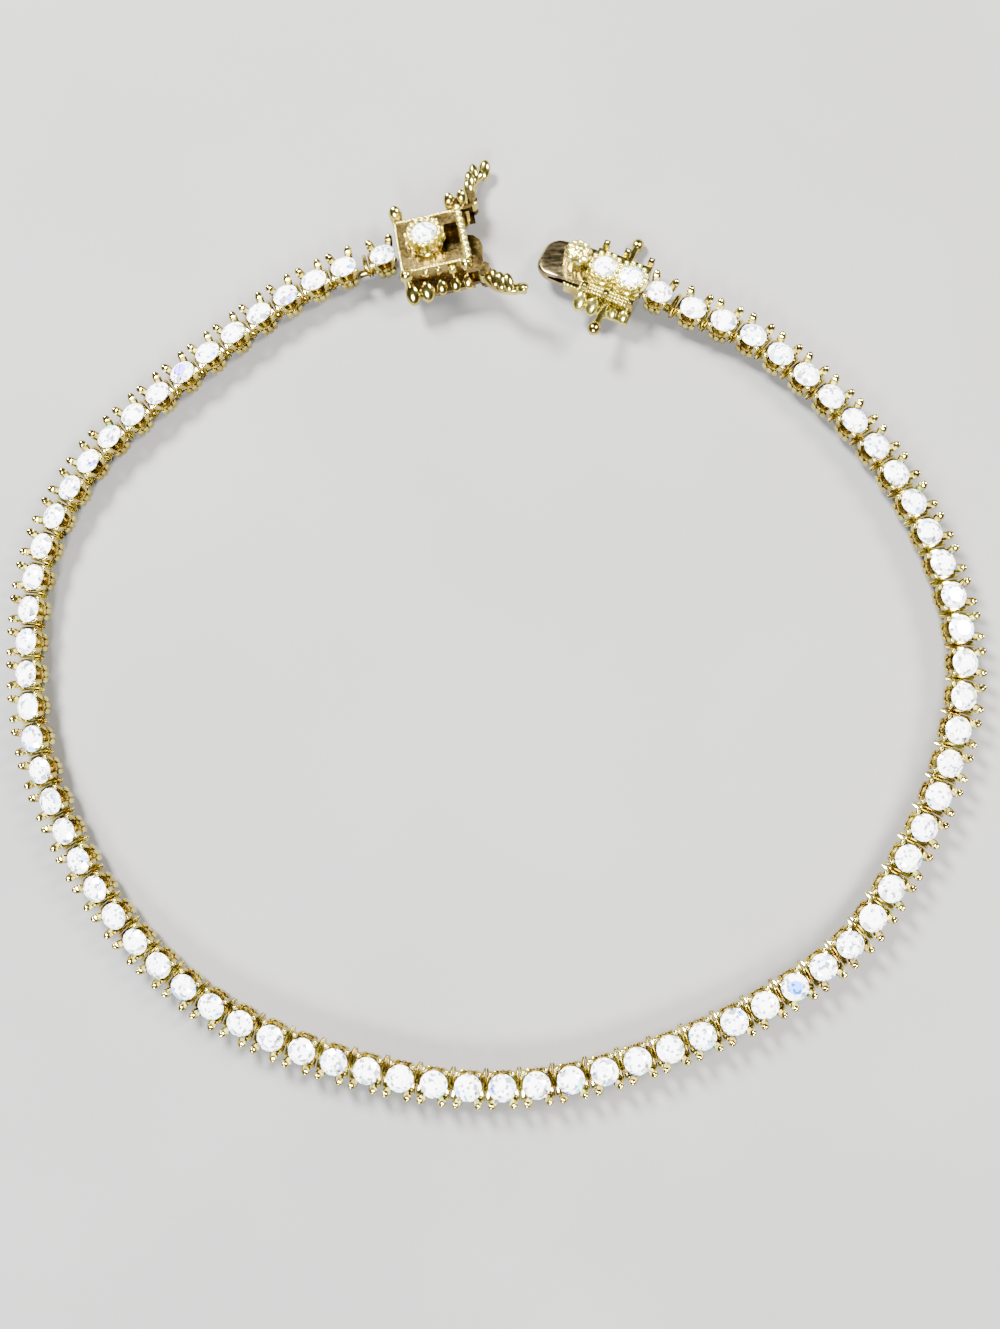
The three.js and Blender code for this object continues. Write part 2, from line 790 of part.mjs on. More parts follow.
// The whole bracelet
function bracelet() {
  const frames = linkFrames();
  const middle = Math.ceil(frames.length / 2);
  const left = chainHalf(frames.slice(0, middle), { before: hingeEye(-claspReach), after: hingeEye(linkPitch / 2) });
  const right = chainHalf(frames.slice(middle), { before: forkOnLink(), after: hingeEye(claspReach) });
  const box = claspFrame(frames[0], -1, {
    turn: boxTurn,
    lean: boxLean,
    width: boxWidth,
    shift: boxShift,
    lift: boxLift,
  });
  const base = claspFrame(frames[frames.length - 1], 1, {
    turn: baseTurn,
    lean: baseLean,
    width: baseWidth,
    shift: baseShift,
    lift: baseLift,
  });
  const boxStone = cutStone(boxRear + boxHeadPlace, boxHeight + boxHeadHeight - headRim);
  const made = new THREE.Group();
  made.add(
    meshFrom("link_chain_left", left, goldMaterial()),
    meshFrom("link_chain_right", right, goldMaterial()),
    meshFrom("clasp_box", geometryFrom(claspBox(box.pin)), goldMaterial(), box.matrix),
    meshFrom("clasp_box_stone", geometryFrom(boxStone), stoneMaterial(), box.matrix),
    placedCatch("safety_catch_upper", 1, upperCatchOpening, box.matrix),
    placedCatch("safety_catch_lower", -1, lowerCatchOpening, box.matrix),
    meshFrom("clasp_tongue_base", geometryFrom(tongueBase(base.pin)), goldMaterial(), base.matrix),
    meshFrom("clasp_tongue", geometryFrom(tongueLeaf()), goldMaterial(), base.matrix),
  );
  baseHeadPlaces.forEach((place, index) => {
    const stone = geometryFrom(cutStone(baseRear + place, baseHeight + baseHeadHeight - headRim));
    made.add(meshFrom(`clasp_tongue_stone_${index + 1}`, stone, stoneMaterial(), base.matrix));
  });
  return made;
}

// The loop with the middle of its box over the origin and its lowest points on the ground
const loop = bracelet();
const bounds = new THREE.Box3().setFromObject(loop, true);
const middle = bounds.getCenter(new THREE.Vector3());
loop.position.set(-middle.x, -middle.y, -bounds.min.z);

const part = new THREE.Group();
part.add(loop);
part.updateMatrixWorld(true);

export default part;
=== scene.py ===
import logging
import math
from dataclasses import dataclass, field
from enum import Enum

import bmesh
import bpy
import numpy as np
from mathutils import Matrix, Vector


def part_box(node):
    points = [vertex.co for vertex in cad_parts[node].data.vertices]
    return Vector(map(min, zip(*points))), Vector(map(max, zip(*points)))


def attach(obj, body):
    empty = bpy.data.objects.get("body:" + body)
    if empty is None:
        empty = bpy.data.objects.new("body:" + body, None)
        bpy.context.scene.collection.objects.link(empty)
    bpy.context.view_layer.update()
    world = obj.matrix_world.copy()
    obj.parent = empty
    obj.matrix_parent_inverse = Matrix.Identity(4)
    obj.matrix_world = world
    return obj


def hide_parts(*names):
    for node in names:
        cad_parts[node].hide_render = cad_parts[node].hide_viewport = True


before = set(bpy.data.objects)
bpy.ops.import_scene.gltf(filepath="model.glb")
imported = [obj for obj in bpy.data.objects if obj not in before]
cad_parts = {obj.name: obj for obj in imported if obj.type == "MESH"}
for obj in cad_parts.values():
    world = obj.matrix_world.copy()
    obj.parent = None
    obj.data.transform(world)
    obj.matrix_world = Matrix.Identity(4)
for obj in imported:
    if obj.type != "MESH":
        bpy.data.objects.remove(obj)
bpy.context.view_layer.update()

LOG = logging.getLogger("bracelet")
Array = np.ndarray
MM = 0.001
BODY = "chain_and_clasp"
# Corners this near are one, faces that turn less than this are one, and sharper edges than this are rounded
WELD_MM, FLAT_DEGREES, EDGE_DEGREES = 0.002, 1.0, 30


# Surfaces


@dataclass
class Surface:
    """Corners in millimetres, triangles between them, and a colour for each triangle where it has one."""

    corners: Array
    triangles: Array
    tints: Array | None = None

    def placed(self, matrix: Array) -> "Surface":
        """The same surface moved by one 4 x 4 matrix: corner' = R corner + t."""
        return Surface(self.corners @ matrix[:3, :3].T + matrix[:3, 3], self.triangles, self.tints)

    def repeated(self, matrices: Array) -> "Surface":
        """One copy for each matrix, joined.

        Args:
            matrices: k matrices of 4 x 4. Copy k has corners R_k corner + t_k.

        Returns:
            One surface with k times the corners and triangles.
        """
        count = len(self.corners)
        corners = np.einsum("kij,nj->kni", matrices[:, :3, :3], self.corners) + matrices[:, None, :3, 3]
        steps = np.arange(len(matrices))[:, None, None] * count
        triangles = self.triangles[None] + steps
        return Surface(corners.reshape(-1, 3), triangles.reshape(-1, 3))


def joined(surfaces: list[Surface]) -> Surface:
    """Several surfaces as one: corners one after another, triangle numbers raised to match."""
    starts = np.cumsum([0] + [len(one.corners) for one in surfaces[:-1]])
    triangles = [one.triangles + start for one, start in zip(surfaces, starts)]
    return Surface(np.concatenate([one.corners for one in surfaces]), np.concatenate(triangles))


def around(count: int) -> Array:
    """Angles of even steps round a circle, from 0."""
    return np.arange(count) * 2 * np.pi / count


def squares(a: Array, b: Array, c: Array, d: Array) -> Array:
    """Two triangles for each square of corner numbers: first every a b c, then every a c d."""
    return np.concatenate([np.stack(three, axis=-1).reshape(-1, 3) for three in ((a, b, c), (a, c, d))])


def closed_rings(rings: Array) -> Surface:
    """A skin over closed rings of corners, with a fan over both ends.

    Corner (r, c) is joined to (r, c + 1) and (r + 1, c); the column after the last is the first. The
    middle of the first and of the last ring closes the ends. Rings run along the way that their
    columns turn round anticlockwise, so the faces point outwards.

    Args:
        rings: rows x columns x 3 corners.

    Returns:
        A closed surface.
    """
    rows, columns = rings.shape[:2]
    number = np.arange(rows * columns).reshape(rows, columns)
    after = np.roll(number, -1, axis=1)
    sides = squares(number[:-1], after[:-1], after[1:], number[1:])
    foot, top = rows * columns, rows * columns + 1
    foot_fan = np.stack([np.full(columns, foot), after[0], number[0]], axis=-1)
    top_fan = np.stack([np.full(columns, top), number[-1], after[-1]], axis=-1)
    ends = np.stack([rings[0].mean(axis=0), rings[-1].mean(axis=0)])
    corners = np.concatenate([rings.reshape(-1, 3), ends])
    return Surface(corners, np.concatenate([sides, foot_fan, top_fan]))


def lofted(levels: list[tuple[float, float, float]], columns: int = 24) -> Surface:
    """A body over ovals stacked along Z: (hx cos a, hy sin a, z) for each level.

    Args:
        levels: height, half size along X and half size along Y of each ring, in millimetres.
        columns: corners round each ring.

    Returns:
        A closed surface.
    """
    sizes, turn = np.array(levels, float), around(columns)
    x, y = sizes[:, 1:2] * np.cos(turn), sizes[:, 2:3] * np.sin(turn)
    return closed_rings(np.stack([x, y, np.broadcast_to(sizes[:, :1], x.shape)], axis=-1))


def along_path(path: Array, wide: Array, thick: Array, side: Array, columns: int) -> Surface:
    """An oval section carried along a path: P(t) + wide(t) cos(a) s(t) + thick(t) sin(a) u(t).

    s is `side` with its part along the path taken off, and u = tangent x s.

    Args:
        path: rows x 3 points.
        wide: half width at each point, along s.
        thick: half thickness at each point, along u.
        side: one direction for the whole path, or one for each point.
        columns: corners round the section.

    Returns:
        A closed surface.
    """
    tangent = np.gradient(path, axis=0)
    tangent /= np.linalg.norm(tangent, axis=1, keepdims=True)
    sides = np.broadcast_to(side, path.shape)
    across = sides - tangent * (sides * tangent).sum(axis=1, keepdims=True)
    across /= np.linalg.norm(across, axis=1, keepdims=True)
    up = np.cross(tangent, across)
    turn = around(columns)
    first = np.cos(turn)[None, :, None] * (wide[:, None] * across)[:, None, :]
    second = np.sin(turn)[None, :, None] * (thick[:, None] * up)[:, None, :]
    return closed_rings(path[:, None, :] + first + second)


def claw(
    points: tuple[tuple[float, float, float], ...],
    t: Array,
    half: Array,
    last: float,
    flat: float,
    side: Array,
    columns: int,
) -> Surface:
    """A rod with a rounded end, along the quadratic foot (1 - t)^2 + 2 knee t (1 - t) + tip t^2.

    Args:
        points: foot, knee and tip.
        t: where the rings lie, from 0 to 1.
        half: half width of each ring, which sqrt(1 - e^2) narrows over the last stretch.
        last: the share of t that this stretch takes; e rises over it from 0 to nearly 1.
        flat: the thickness divided by the width.
        side: the direction of the width.
        columns: corners round the section.

    Returns:
        A closed surface.
    """
    foot, knee, tip = (np.array(point) for point in points)
    u = t[:, None]
    path = foot * (1 - u) ** 2 + 2 * knee * u * (1 - u) + tip * u**2
    end = np.clip((t - (1 - last)) / last, 0, 0.985)
    radius = half * np.sqrt(1 - end**2)
    return along_path(path, radius, radius * flat, side, columns)


def oval(size: tuple[float, float, float], rows: int, columns: int) -> Surface:
    """An ellipsoid with half sizes a, b, c along X, Y, Z: rings at z = c sin(v), radius cos(v)."""
    rise = np.linspace(-0.46, 0.46, rows) * np.pi
    a, b, c = size
    return lofted([(c * math.sin(v), a * math.cos(v), b * math.cos(v)) for v in rise], columns=columns)


def ring_shape(radius: float, wire: float, columns: int = 28, sides: int = 10) -> Surface:
    """A torus round Z: ((R + w cos b) cos a, (R + w cos b) sin a, w sin b)."""
    turn, roll = around(columns), around(sides)
    reach = radius + wire * np.cos(roll)[None, :]
    x, y = reach * np.cos(turn)[:, None], reach * np.sin(turn)[:, None]
    z = np.broadcast_to(wire * np.sin(roll)[None, :], x.shape)
    number = np.arange(columns * sides).reshape(columns, sides)
    next_column, next_side = np.roll(number, -1, axis=0), np.roll(number, -1, axis=1)
    both = np.roll(next_column, -1, axis=1)
    return Surface(np.stack([x, y, z], axis=-1).reshape(-1, 3), squares(number, next_column, both, next_side))


def moved(x: float, y: float, z: float) -> Array:
    """The 4 x 4 matrix of a shift."""
    matrix = np.eye(4)
    matrix[:3, 3] = (x, y, z)
    return matrix


def upright(places: Array) -> Array:
    """One 4 x 4 shift for each of k places, given as k x 3."""
    frames = np.tile(np.eye(4), (len(places), 1, 1))
    frames[:, :3, 3] = places
    return frames


def turned(axis: str, degrees: float) -> Array:
    """The 4 x 4 matrix of a turn about X, Y or Z."""
    return np.array(Matrix.Rotation(math.radians(degrees), 4, axis))


def pointed(direction: tuple[float, float, float], place: tuple[float, float, float]) -> Array:
    """The matrix that lays local Z along a direction, with local X level, and the origin at a place."""
    up = np.array(direction, float)
    up /= np.linalg.norm(up)
    level = np.cross(up, (0.0, 0.0, 1.0))
    if np.linalg.norm(level) < 1e-6:
        level = np.array((1.0, 0.0, 0.0))
    level /= np.linalg.norm(level)
    matrix = np.eye(4)
    matrix[:3, 0], matrix[:3, 1], matrix[:3, 2] = level, np.cross(up, level), up
    matrix[:3, 3] = place
    return matrix


# Colour and finishes


def linear(code: str) -> tuple[float, float, float, float]:
    """An sRGB hex value as linear colour: c / 12.92 below 0.04045, else ((c + 0.055) / 1.055)^2.4."""
    values = [int(code[place : place + 2], 16) / 255 for place in (1, 3, 5)]
    parts = [v / 12.92 if v <= 0.04045 else ((v + 0.055) / 1.055) ** 2.4 for v in values]
    return (parts[0], parts[1], parts[2], 1.0)


def set_up(
    tree: bpy.types.NodeTree,
    node: bpy.types.Node,
    values: dict[str | int, object] | None = None,
    links: dict[str | int, bpy.types.NodeSocket] | None = None,
) -> bpy.types.Node:
    """Sets a node's input sockets to values, or feeds them from outputs."""
    for name, value in (values or {}).items():
        node.inputs[name].default_value = value
    for name, source in (links or {}).items():
        tree.links.new(source, node.inputs[name])
    return node


def add_node(
    tree: bpy.types.NodeTree,
    kind: str,
    settings: dict[str, object] | None = None,
    values: dict[str | int, object] | None = None,
    links: dict[str | int, bpy.types.NodeSocket] | None = None,
) -> bpy.types.Node:
    """Adds a node with its settings, its sockets' values and its links.

    Args:
        tree: the material's node tree.
        kind: the node's type name.
        settings: attribute to value.
        values: input socket to value.
        links: input socket to the output that feeds it.

    Returns:
        The new node.
    """
    node = tree.nodes.new(kind)
    for name, value in (settings or {}).items():
        setattr(node, name, value)
    return set_up(tree, node, values, links)


def noise(
    tree: bpy.types.NodeTree, place: bpy.types.NodeSocket, size_mm: float, detail: float, rough: float
) -> bpy.types.NodeSocket:
    """Noise whose patches are about as wide as size_mm."""
    values = {"Scale": 1 / (size_mm * MM), "Detail": detail, "Roughness": rough}
    return add_node(tree, "ShaderNodeTexNoise", values=values, links={"Vector": place}).outputs["Fac"]


def spread(
    tree: bpy.types.NodeTree, value: bpy.types.NodeSocket, low: float, high: float, smooth: float, rough: float
) -> bpy.types.NodeSocket:
    """A roughness that goes from smooth to rough as the value goes from low to high."""
    values = {"From Min": low, "From Max": high, "To Min": smooth, "To Max": rough}
    return add_node(tree, "ShaderNodeMapRange", values=values, links={"Value": value}).outputs["Result"]


def new_material(name: str) -> tuple[bpy.types.Material, bpy.types.NodeTree, bpy.types.Node]:
    """A new material, its node tree and its shader."""
    material = bpy.data.materials.new(name)
    material.use_nodes = True
    return material, material.node_tree, material.node_tree.nodes["Principled BSDF"]


def ramp_between(
    tree: bpy.types.NodeTree, value: bpy.types.NodeSocket, stops: list[tuple[float, str]], steps: bool = False
) -> bpy.types.NodeSocket:
    """The colour that a value picks from stops of place and hex code, in steps or flowing."""
    node = add_node(tree, "ShaderNodeValToRGB", links={"Fac": value})
    ramp = node.color_ramp
    if steps:
        ramp.interpolation = "CONSTANT"
    while len(ramp.elements) < len(stops):
        ramp.elements.new(0.5)
    for element, (place, code) in zip(ramp.elements, stops):
        element.position = place
        element.color = linear(code)
    return node.outputs["Color"]


def in_scene(name: str, data: bpy.types.ID) -> bpy.types.Object:
    """A new object in the scene that shows a mesh, a lamp or a camera."""
    made = bpy.data.objects.new(name, data)
    bpy.context.scene.collection.objects.link(made)
    return made


@dataclass(frozen=True)
class GoldFinish:
    """Yellow gold: its colour in patches, its polish and its finest marks."""

    name: str
    light: str
    deep: str
    smooth: float
    rough: float
    patch_mm: float
    mark_mm: float
    mark_depth: float
    mark_stretch: tuple[float, float, float] = (1.0, 1.0, 1.0)

    def build(self) -> bpy.types.Material:
        """The material: metal whose colour and polish drift over patches, with fine marks as bump."""
        material, tree, shader = new_material(self.name)
        place = add_node(tree, "ShaderNodeTexCoord").outputs["Object"]
        patches = noise(tree, place, self.patch_mm, 3.0, 0.55)
        stretched = add_node(
            tree, "ShaderNodeMapping", values={"Scale": self.mark_stretch}, links={"Vector": place}
        )
        marks = noise(tree, stretched.outputs["Vector"], self.mark_mm, 2.0, 0.6)
        bump = add_node(
            tree,
            "ShaderNodeBump",
            values={"Strength": self.mark_depth, "Distance": self.mark_mm * MM * 0.2},
            links={"Height": marks},
        )
        links = {
            "Base Color": ramp_between(tree, patches, [(0.36, self.deep), (0.62, self.light)]),
            "Roughness": spread(tree, marks, 0.3, 0.7, self.smooth, self.rough),
            "Normal": bump.outputs["Normal"],
        }
        set_up(tree, shader, {"Metallic": 1.0}, links)
        return material


@dataclass(frozen=True)
class StoneFinish:
    """Cut white stone: each facet keeps a painted reflection, a fixed tint that stands for the light it throws back,
    under a hard clear polish.
    """

    name: str
    clear: float
    reflection_patch_mm: float
    bend: float = 2.417

    def build(self) -> bpy.types.Material:
        """The material: the facets' painted reflections, broken by painted grey patches, at the refraction of diamond.
        """
        material, tree, shader = new_material(self.name)
        tint = add_node(tree, "ShaderNodeVertexColor", settings={"layer_name": "facet"})
        place = add_node(tree, "ShaderNodeTexCoord").outputs["Object"]
        scale = {"Scale": 1 / (self.reflection_patch_mm * MM)}
        # Painted reflections: Voronoi cells darken patches of the stone to grey and pale grey
        reflection_patches = add_node(tree, "ShaderNodeTexVoronoi", values=scale, links={"Vector": place})
        stops = [(0.0, "#7F8791"), (0.24, "#DDE2E8"), (0.34, "#FFFFFF")]
        strength = ramp_between(tree, reflection_patches.outputs["Color"], stops, steps=True)
        mixed = add_node(
            tree,
            "ShaderNodeVectorMath",
            settings={"operation": "MULTIPLY"},
            links={0: tint.outputs["Color"], 1: strength},
        )
        links = {
            "Base Color": mixed.outputs["Vector"],
            "Roughness": spread(tree, reflection_patches.outputs["Distance"], 0.0, 0.6, 0.015, 0.05),
        }
        set_up(tree, shader, {"IOR": self.bend, "Transmission Weight": self.clear}, links)
        return material


class Finish(Enum):
    """The finishes of the bracelet."""

    # Cast 14 karat gold, tumbled and buffed: nearly white highlights, amber where it faces the dark
    POLISHED = GoldFinish("gold_14k_polished", "#D8CE76", "#A8924A", 0.10, 0.19, 1.1, 0.12, 0.12)
    # The same gold where no wheel reaches, round the foot of a setting: a rougher skin that scatters the light, in a
    # darker colour that is painted shade between the stones
    RECESSED = GoldFinish("gold_14k_as_cast_painted_shade", "#C2B26A", "#8C7840", 0.20, 0.32, 0.9, 0.12, 0.20)
    # The box housing, painted darker: a brown gold that is painted shade round and under the head, and sets off the
    # beads
    BOX_PAINTED_SHADE = GoldFinish("gold_14k_box_painted_shade", "#927E48", "#544322", 0.15, 0.27, 1.1, 0.15, 0.15)
    # Fine beads and flutes, cut after the polish: their many small faces scatter the light, and a lighter colour adds a
    # painted highlight
    MILLED_PAINTED_HIGHLIGHT = GoldFinish("gold_14k_milled_painted_highlight", "#EEE88E", "#CEBE60", 0.16, 0.27, 0.6, 0.09, 0.14)
    # Rolled spring strip, pushed in and out of the box: painted darker and greyer, a painted dark reflection of the
    # flat leaf, with fine streaks from rubbing
    SPRING = GoldFinish(
        "gold_spring_strip_rubbed_painted_shade", "#A8976E", "#6B5E42", 0.14, 0.30, 1.1, 0.30, 0.06, (0.3, 1.0, 1.0)
    )
    # Round brilliants: painted white glare broken by small grey facets of painted reflection and a few painted sparks
    # of colour
    BRILLIANT = StoneFinish("diamond_brilliant_cut", 0.08, 0.17)


class Workshop:
    """Keeps the materials that are made and turns surfaces into pieces of the scene."""

    def __init__(self) -> None:
        """Starts with nothing made."""
        self.materials: dict[Finish, bpy.types.Material] = {}

    def material(self, finish: Finish) -> bpy.types.Material:
        """The material of a finish, made once."""
        if finish not in self.materials:
            self.materials[finish] = finish.value.build()
        return self.materials[finish]

    def piece(
        self,
        name: str,
        surface: Surface,
        finish: Finish,
        body: str = BODY,
        replaces: tuple[str, ...] = (),
        crease: float | None = 38.0,
    ) -> bpy.types.Object:
        """Makes a surface a piece that rides on a body.

        Args:
            name: the piece's name.
            surface: its shape in millimetres, in the frame's axes.
            finish: its material.
            body: the CAD body that it moves with.
            replaces: CAD nodes that it stands for.
            crease: edges sharper than this many degrees stay sharp; None shades every face flat.

        Returns:
            The new object.
        """
        mesh = bpy.data.meshes.new(name)
        count = len(surface.triangles)
        mesh.vertices.add(len(surface.corners))
        mesh.vertices.foreach_set("co", (surface.corners * MM).astype(np.float32).ravel())
        mesh.loops.add(count * 3)
        mesh.loops.foreach_set("vertex_index", surface.triangles.astype(np.int32).ravel())
        mesh.polygons.add(count)
        mesh.polygons.foreach_set("loop_start", np.arange(0, count * 3, 3, dtype=np.int32))
        mesh.polygons.foreach_set("use_smooth", np.full(count, crease is not None))
        mesh.update(calc_edges=True)
        if surface.tints is not None:
            layer = mesh.color_attributes.new("facet", "FLOAT_COLOR", "CORNER")
            layer.data.foreach_set("color", np.repeat(surface.tints, 3, axis=0).astype(np.float32).ravel())
        if crease is not None:
            mesh.set_sharp_from_angle(angle=math.radians(crease))
        mesh.validate()
        return self.dressed(in_scene(name, mesh), finish, body, replaces)

    def dressed(
        self, made: bpy.types.Object, finish: Finish, body: str, replaces: tuple[str, ...]
    ) -> bpy.types.Object:
        """Gives an object its material, its body and the nodes that it stands for."""
        made.data.materials.clear()
        made.data.materials.append(self.material(finish))
        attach(made, body)
        if replaces:
            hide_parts(*replaces)
        LOG.info("%s: %d triangles", made.name, len(made.data.polygons))
        return made

    def softened(self, name: str, node: str, finish: Finish, edge_mm: float) -> bpy.types.Object:
        """A copy of a CAD node with its flat faces whole again and its edges rounded, as buffing leaves them.

        Args:
            name: the piece's name.
            node: the CAD node that it stands for.
            finish: its material.
            edge_mm: the rounding of its edges.

        Returns:
            The new object.
        """
        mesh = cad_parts[node].data.copy()
        mesh.name = name
        work = bmesh.new()
        work.from_mesh(mesh)
        bmesh.ops.remove_doubles(work, verts=work.verts, dist=WELD_MM * MM)
        flat = math.radians(FLAT_DEGREES)
        bmesh.ops.dissolve_limit(
            work, angle_limit=flat, verts=work.verts, edges=work.edges, use_dissolve_boundaries=False
        )
        work.to_mesh(mesh)
        work.free()
        mesh.polygons.foreach_set("use_smooth", np.full(len(mesh.polygons), False))
        made = in_scene(name, mesh)
        bevel = made.modifiers.new("rounded_edges", "BEVEL")
        bevel.width = edge_mm * MM
        bevel.segments = 3
        bevel.limit_method = "ANGLE"
        bevel.angle_limit = math.radians(EDGE_DEGREES)
        return self.dressed(made, finish, BODY, (node,))


# The stones


@dataclass
class Brilliant:
    """A round brilliant: table, star, kite and upper girdle facets, girdle, lower girdle and mains."""

    diameter: float = 1.8
    table: float = 1.0
    crown: float = 0.28
    girdle: float = 0.05
    pavilion: float = 0.78
    star_reach: float = 0.70
    lower_reach: float = 0.20

    def surface(self) -> Surface:
        """The cut stone with its girdle at z = 0.

        The kite facets are planes through a table corner and the girdle, so a star point at reach s has
        z = crown - (crown / (R - t)) (s cos 22.5 - t); the mains are planes through the culet likewise.

        Returns:
            The surface, facets in the order that `facets` numbers them.
        """
        radius, table = self.diameter / 2, self.table / 2
        eighth = np.arange(8) * np.pi / 4
        sixteenth = np.arange(16) * np.pi / 8
        between = eighth + np.pi / 8
        cosine = math.cos(np.pi / 8)
        half = self.girdle / 2
        star_z = half + self.crown * (1 - (self.star_reach * cosine - table) / (radius - table))
        lower_z = -half - self.pavilion * (1 - self.lower_reach * cosine / radius)
        rings = [
            (table, eighth, half + self.crown),
            (self.star_reach, between, star_z),
            (radius, sixteenth, half),
            (radius, sixteenth, -half),
            (self.lower_reach, between, lower_z),
        ]
        corners = [np.stack([r * np.cos(a), r * np.sin(a), np.full(len(a), z)], axis=1) for r, a, z in rings]
        ends = np.array([[0, 0, half + self.crown], [0, 0, -half - self.pavilion]])
        k = np.arange(8)
        up = (k + 1) % 8
        down = (k - 1) % 8
        t, s, g, low, q = 0, 8, 16, 32, 48
        middle, culet = 56, 57
        even, odd, after = 2 * k, 2 * k + 1, (2 * k + 2) % 16
        j = np.arange(16)
        nxt = (j + 1) % 16
        faces = [
            (np.full(8, middle), t + k, t + up),
            (t + k, s + k, t + up),
            (t + k, s + down, g + even),
            (t + k, g + even, s + k),
            (s + k, g + even, g + odd),
            (s + k, g + odd, g + after),
            (g + j, low + j, low + nxt),
            (g + j, low + nxt, g + nxt),
            (q + k, low + odd, low + even),
            (q + k, low + after, low + odd),
            (np.full(8, culet), q + k, low + even),
            (np.full(8, culet), low + even, q + down),
        ]
        triangles = np.concatenate([np.stack(face, axis=1) for face in faces])
        return Surface(np.concatenate([*corners, ends]), triangles)

    def facets(self) -> Array:
        """The number of the facet that each triangle belongs to: both halves of a kite share one."""
        k = np.arange(8)
        parts = [np.zeros(8, int), 1 + k, 9 + k, 9 + k, 17 + k, 25 + k, np.full(32, 33)]
        return np.concatenate(parts + [34 + k, 42 + k, 50 + k, 50 + k])

    def many(self, frames: Array, seed: int) -> Surface:
        """A stone at each frame, each turned on its own axis and with its own pattern of facets.

        Each facet's tint is a painted reflection: a grey of 0.9 to 1 for most and of 0.22 to 0.7 for about one in four.
        One in twenty gets a painted spark of blue, cyan or violet, and nearly half of those over the girdle on the
        outer side do.

        Args:
            frames: k matrices of 4 x 4, with Z along the stone's axis.
            seed: for the turns and tints.

        Returns:
            The joined surface with its tints.
        """
        chance = np.random.default_rng(seed)
        spin = chance.uniform(0, 2 * np.pi, len(frames))
        turns = np.tile(np.eye(4), (len(frames), 1, 1))
        turns[:, 0, 0] = turns[:, 1, 1] = np.cos(spin)
        turns[:, 0, 1], turns[:, 1, 0] = -np.sin(spin), np.sin(spin)
        made = self.surface().repeated(frames @ turns)
        facets = self.facets()
        count = facets.max() + 1
        pick = chance.uniform(size=(len(frames), count))
        # Painted reflections: each facet a fixed grey, the table nearly white
        grey = np.where(pick < 0.26, chance.uniform(0.22, 0.7, pick.shape), chance.uniform(0.9, 1.0, pick.shape))
        grey[:, 0] = chance.uniform(0.92, 1.0, len(frames))
        tints = np.repeat(grey[..., None], 3, axis=-1)
        sparks = np.array([linear(code)[:3] for code in ("#5E9BFF", "#7FE3F2", "#9A86FF", "#8FC0FF")])
        middles = self.surface().corners[self.surface().triangles].mean(axis=1)
        bearing = np.arctan2(*(np.bincount(facets, middles[:, axis], count) for axis in (1, 0)))
        outward = -np.sin(bearing[None, :] + spin[:, None]) > 0.7
        upper_girdle = (np.arange(count) >= 17) & (np.arange(count) <= 32)
        # Painted fire: sparks of colour, more often on the upper girdle facets of the outer side
        lit = chance.uniform(size=pick.shape) < 0.05 + 0.40 * (outward & upper_girdle[None, :])
        tints[lit] = sparks[chance.integers(0, len(sparks), lit.sum())]
        tints = tints[:, facets].reshape(-1, 3)
        made.tints = np.concatenate([tints, np.ones((len(tints), 1))], axis=1)
        return made


# The chain


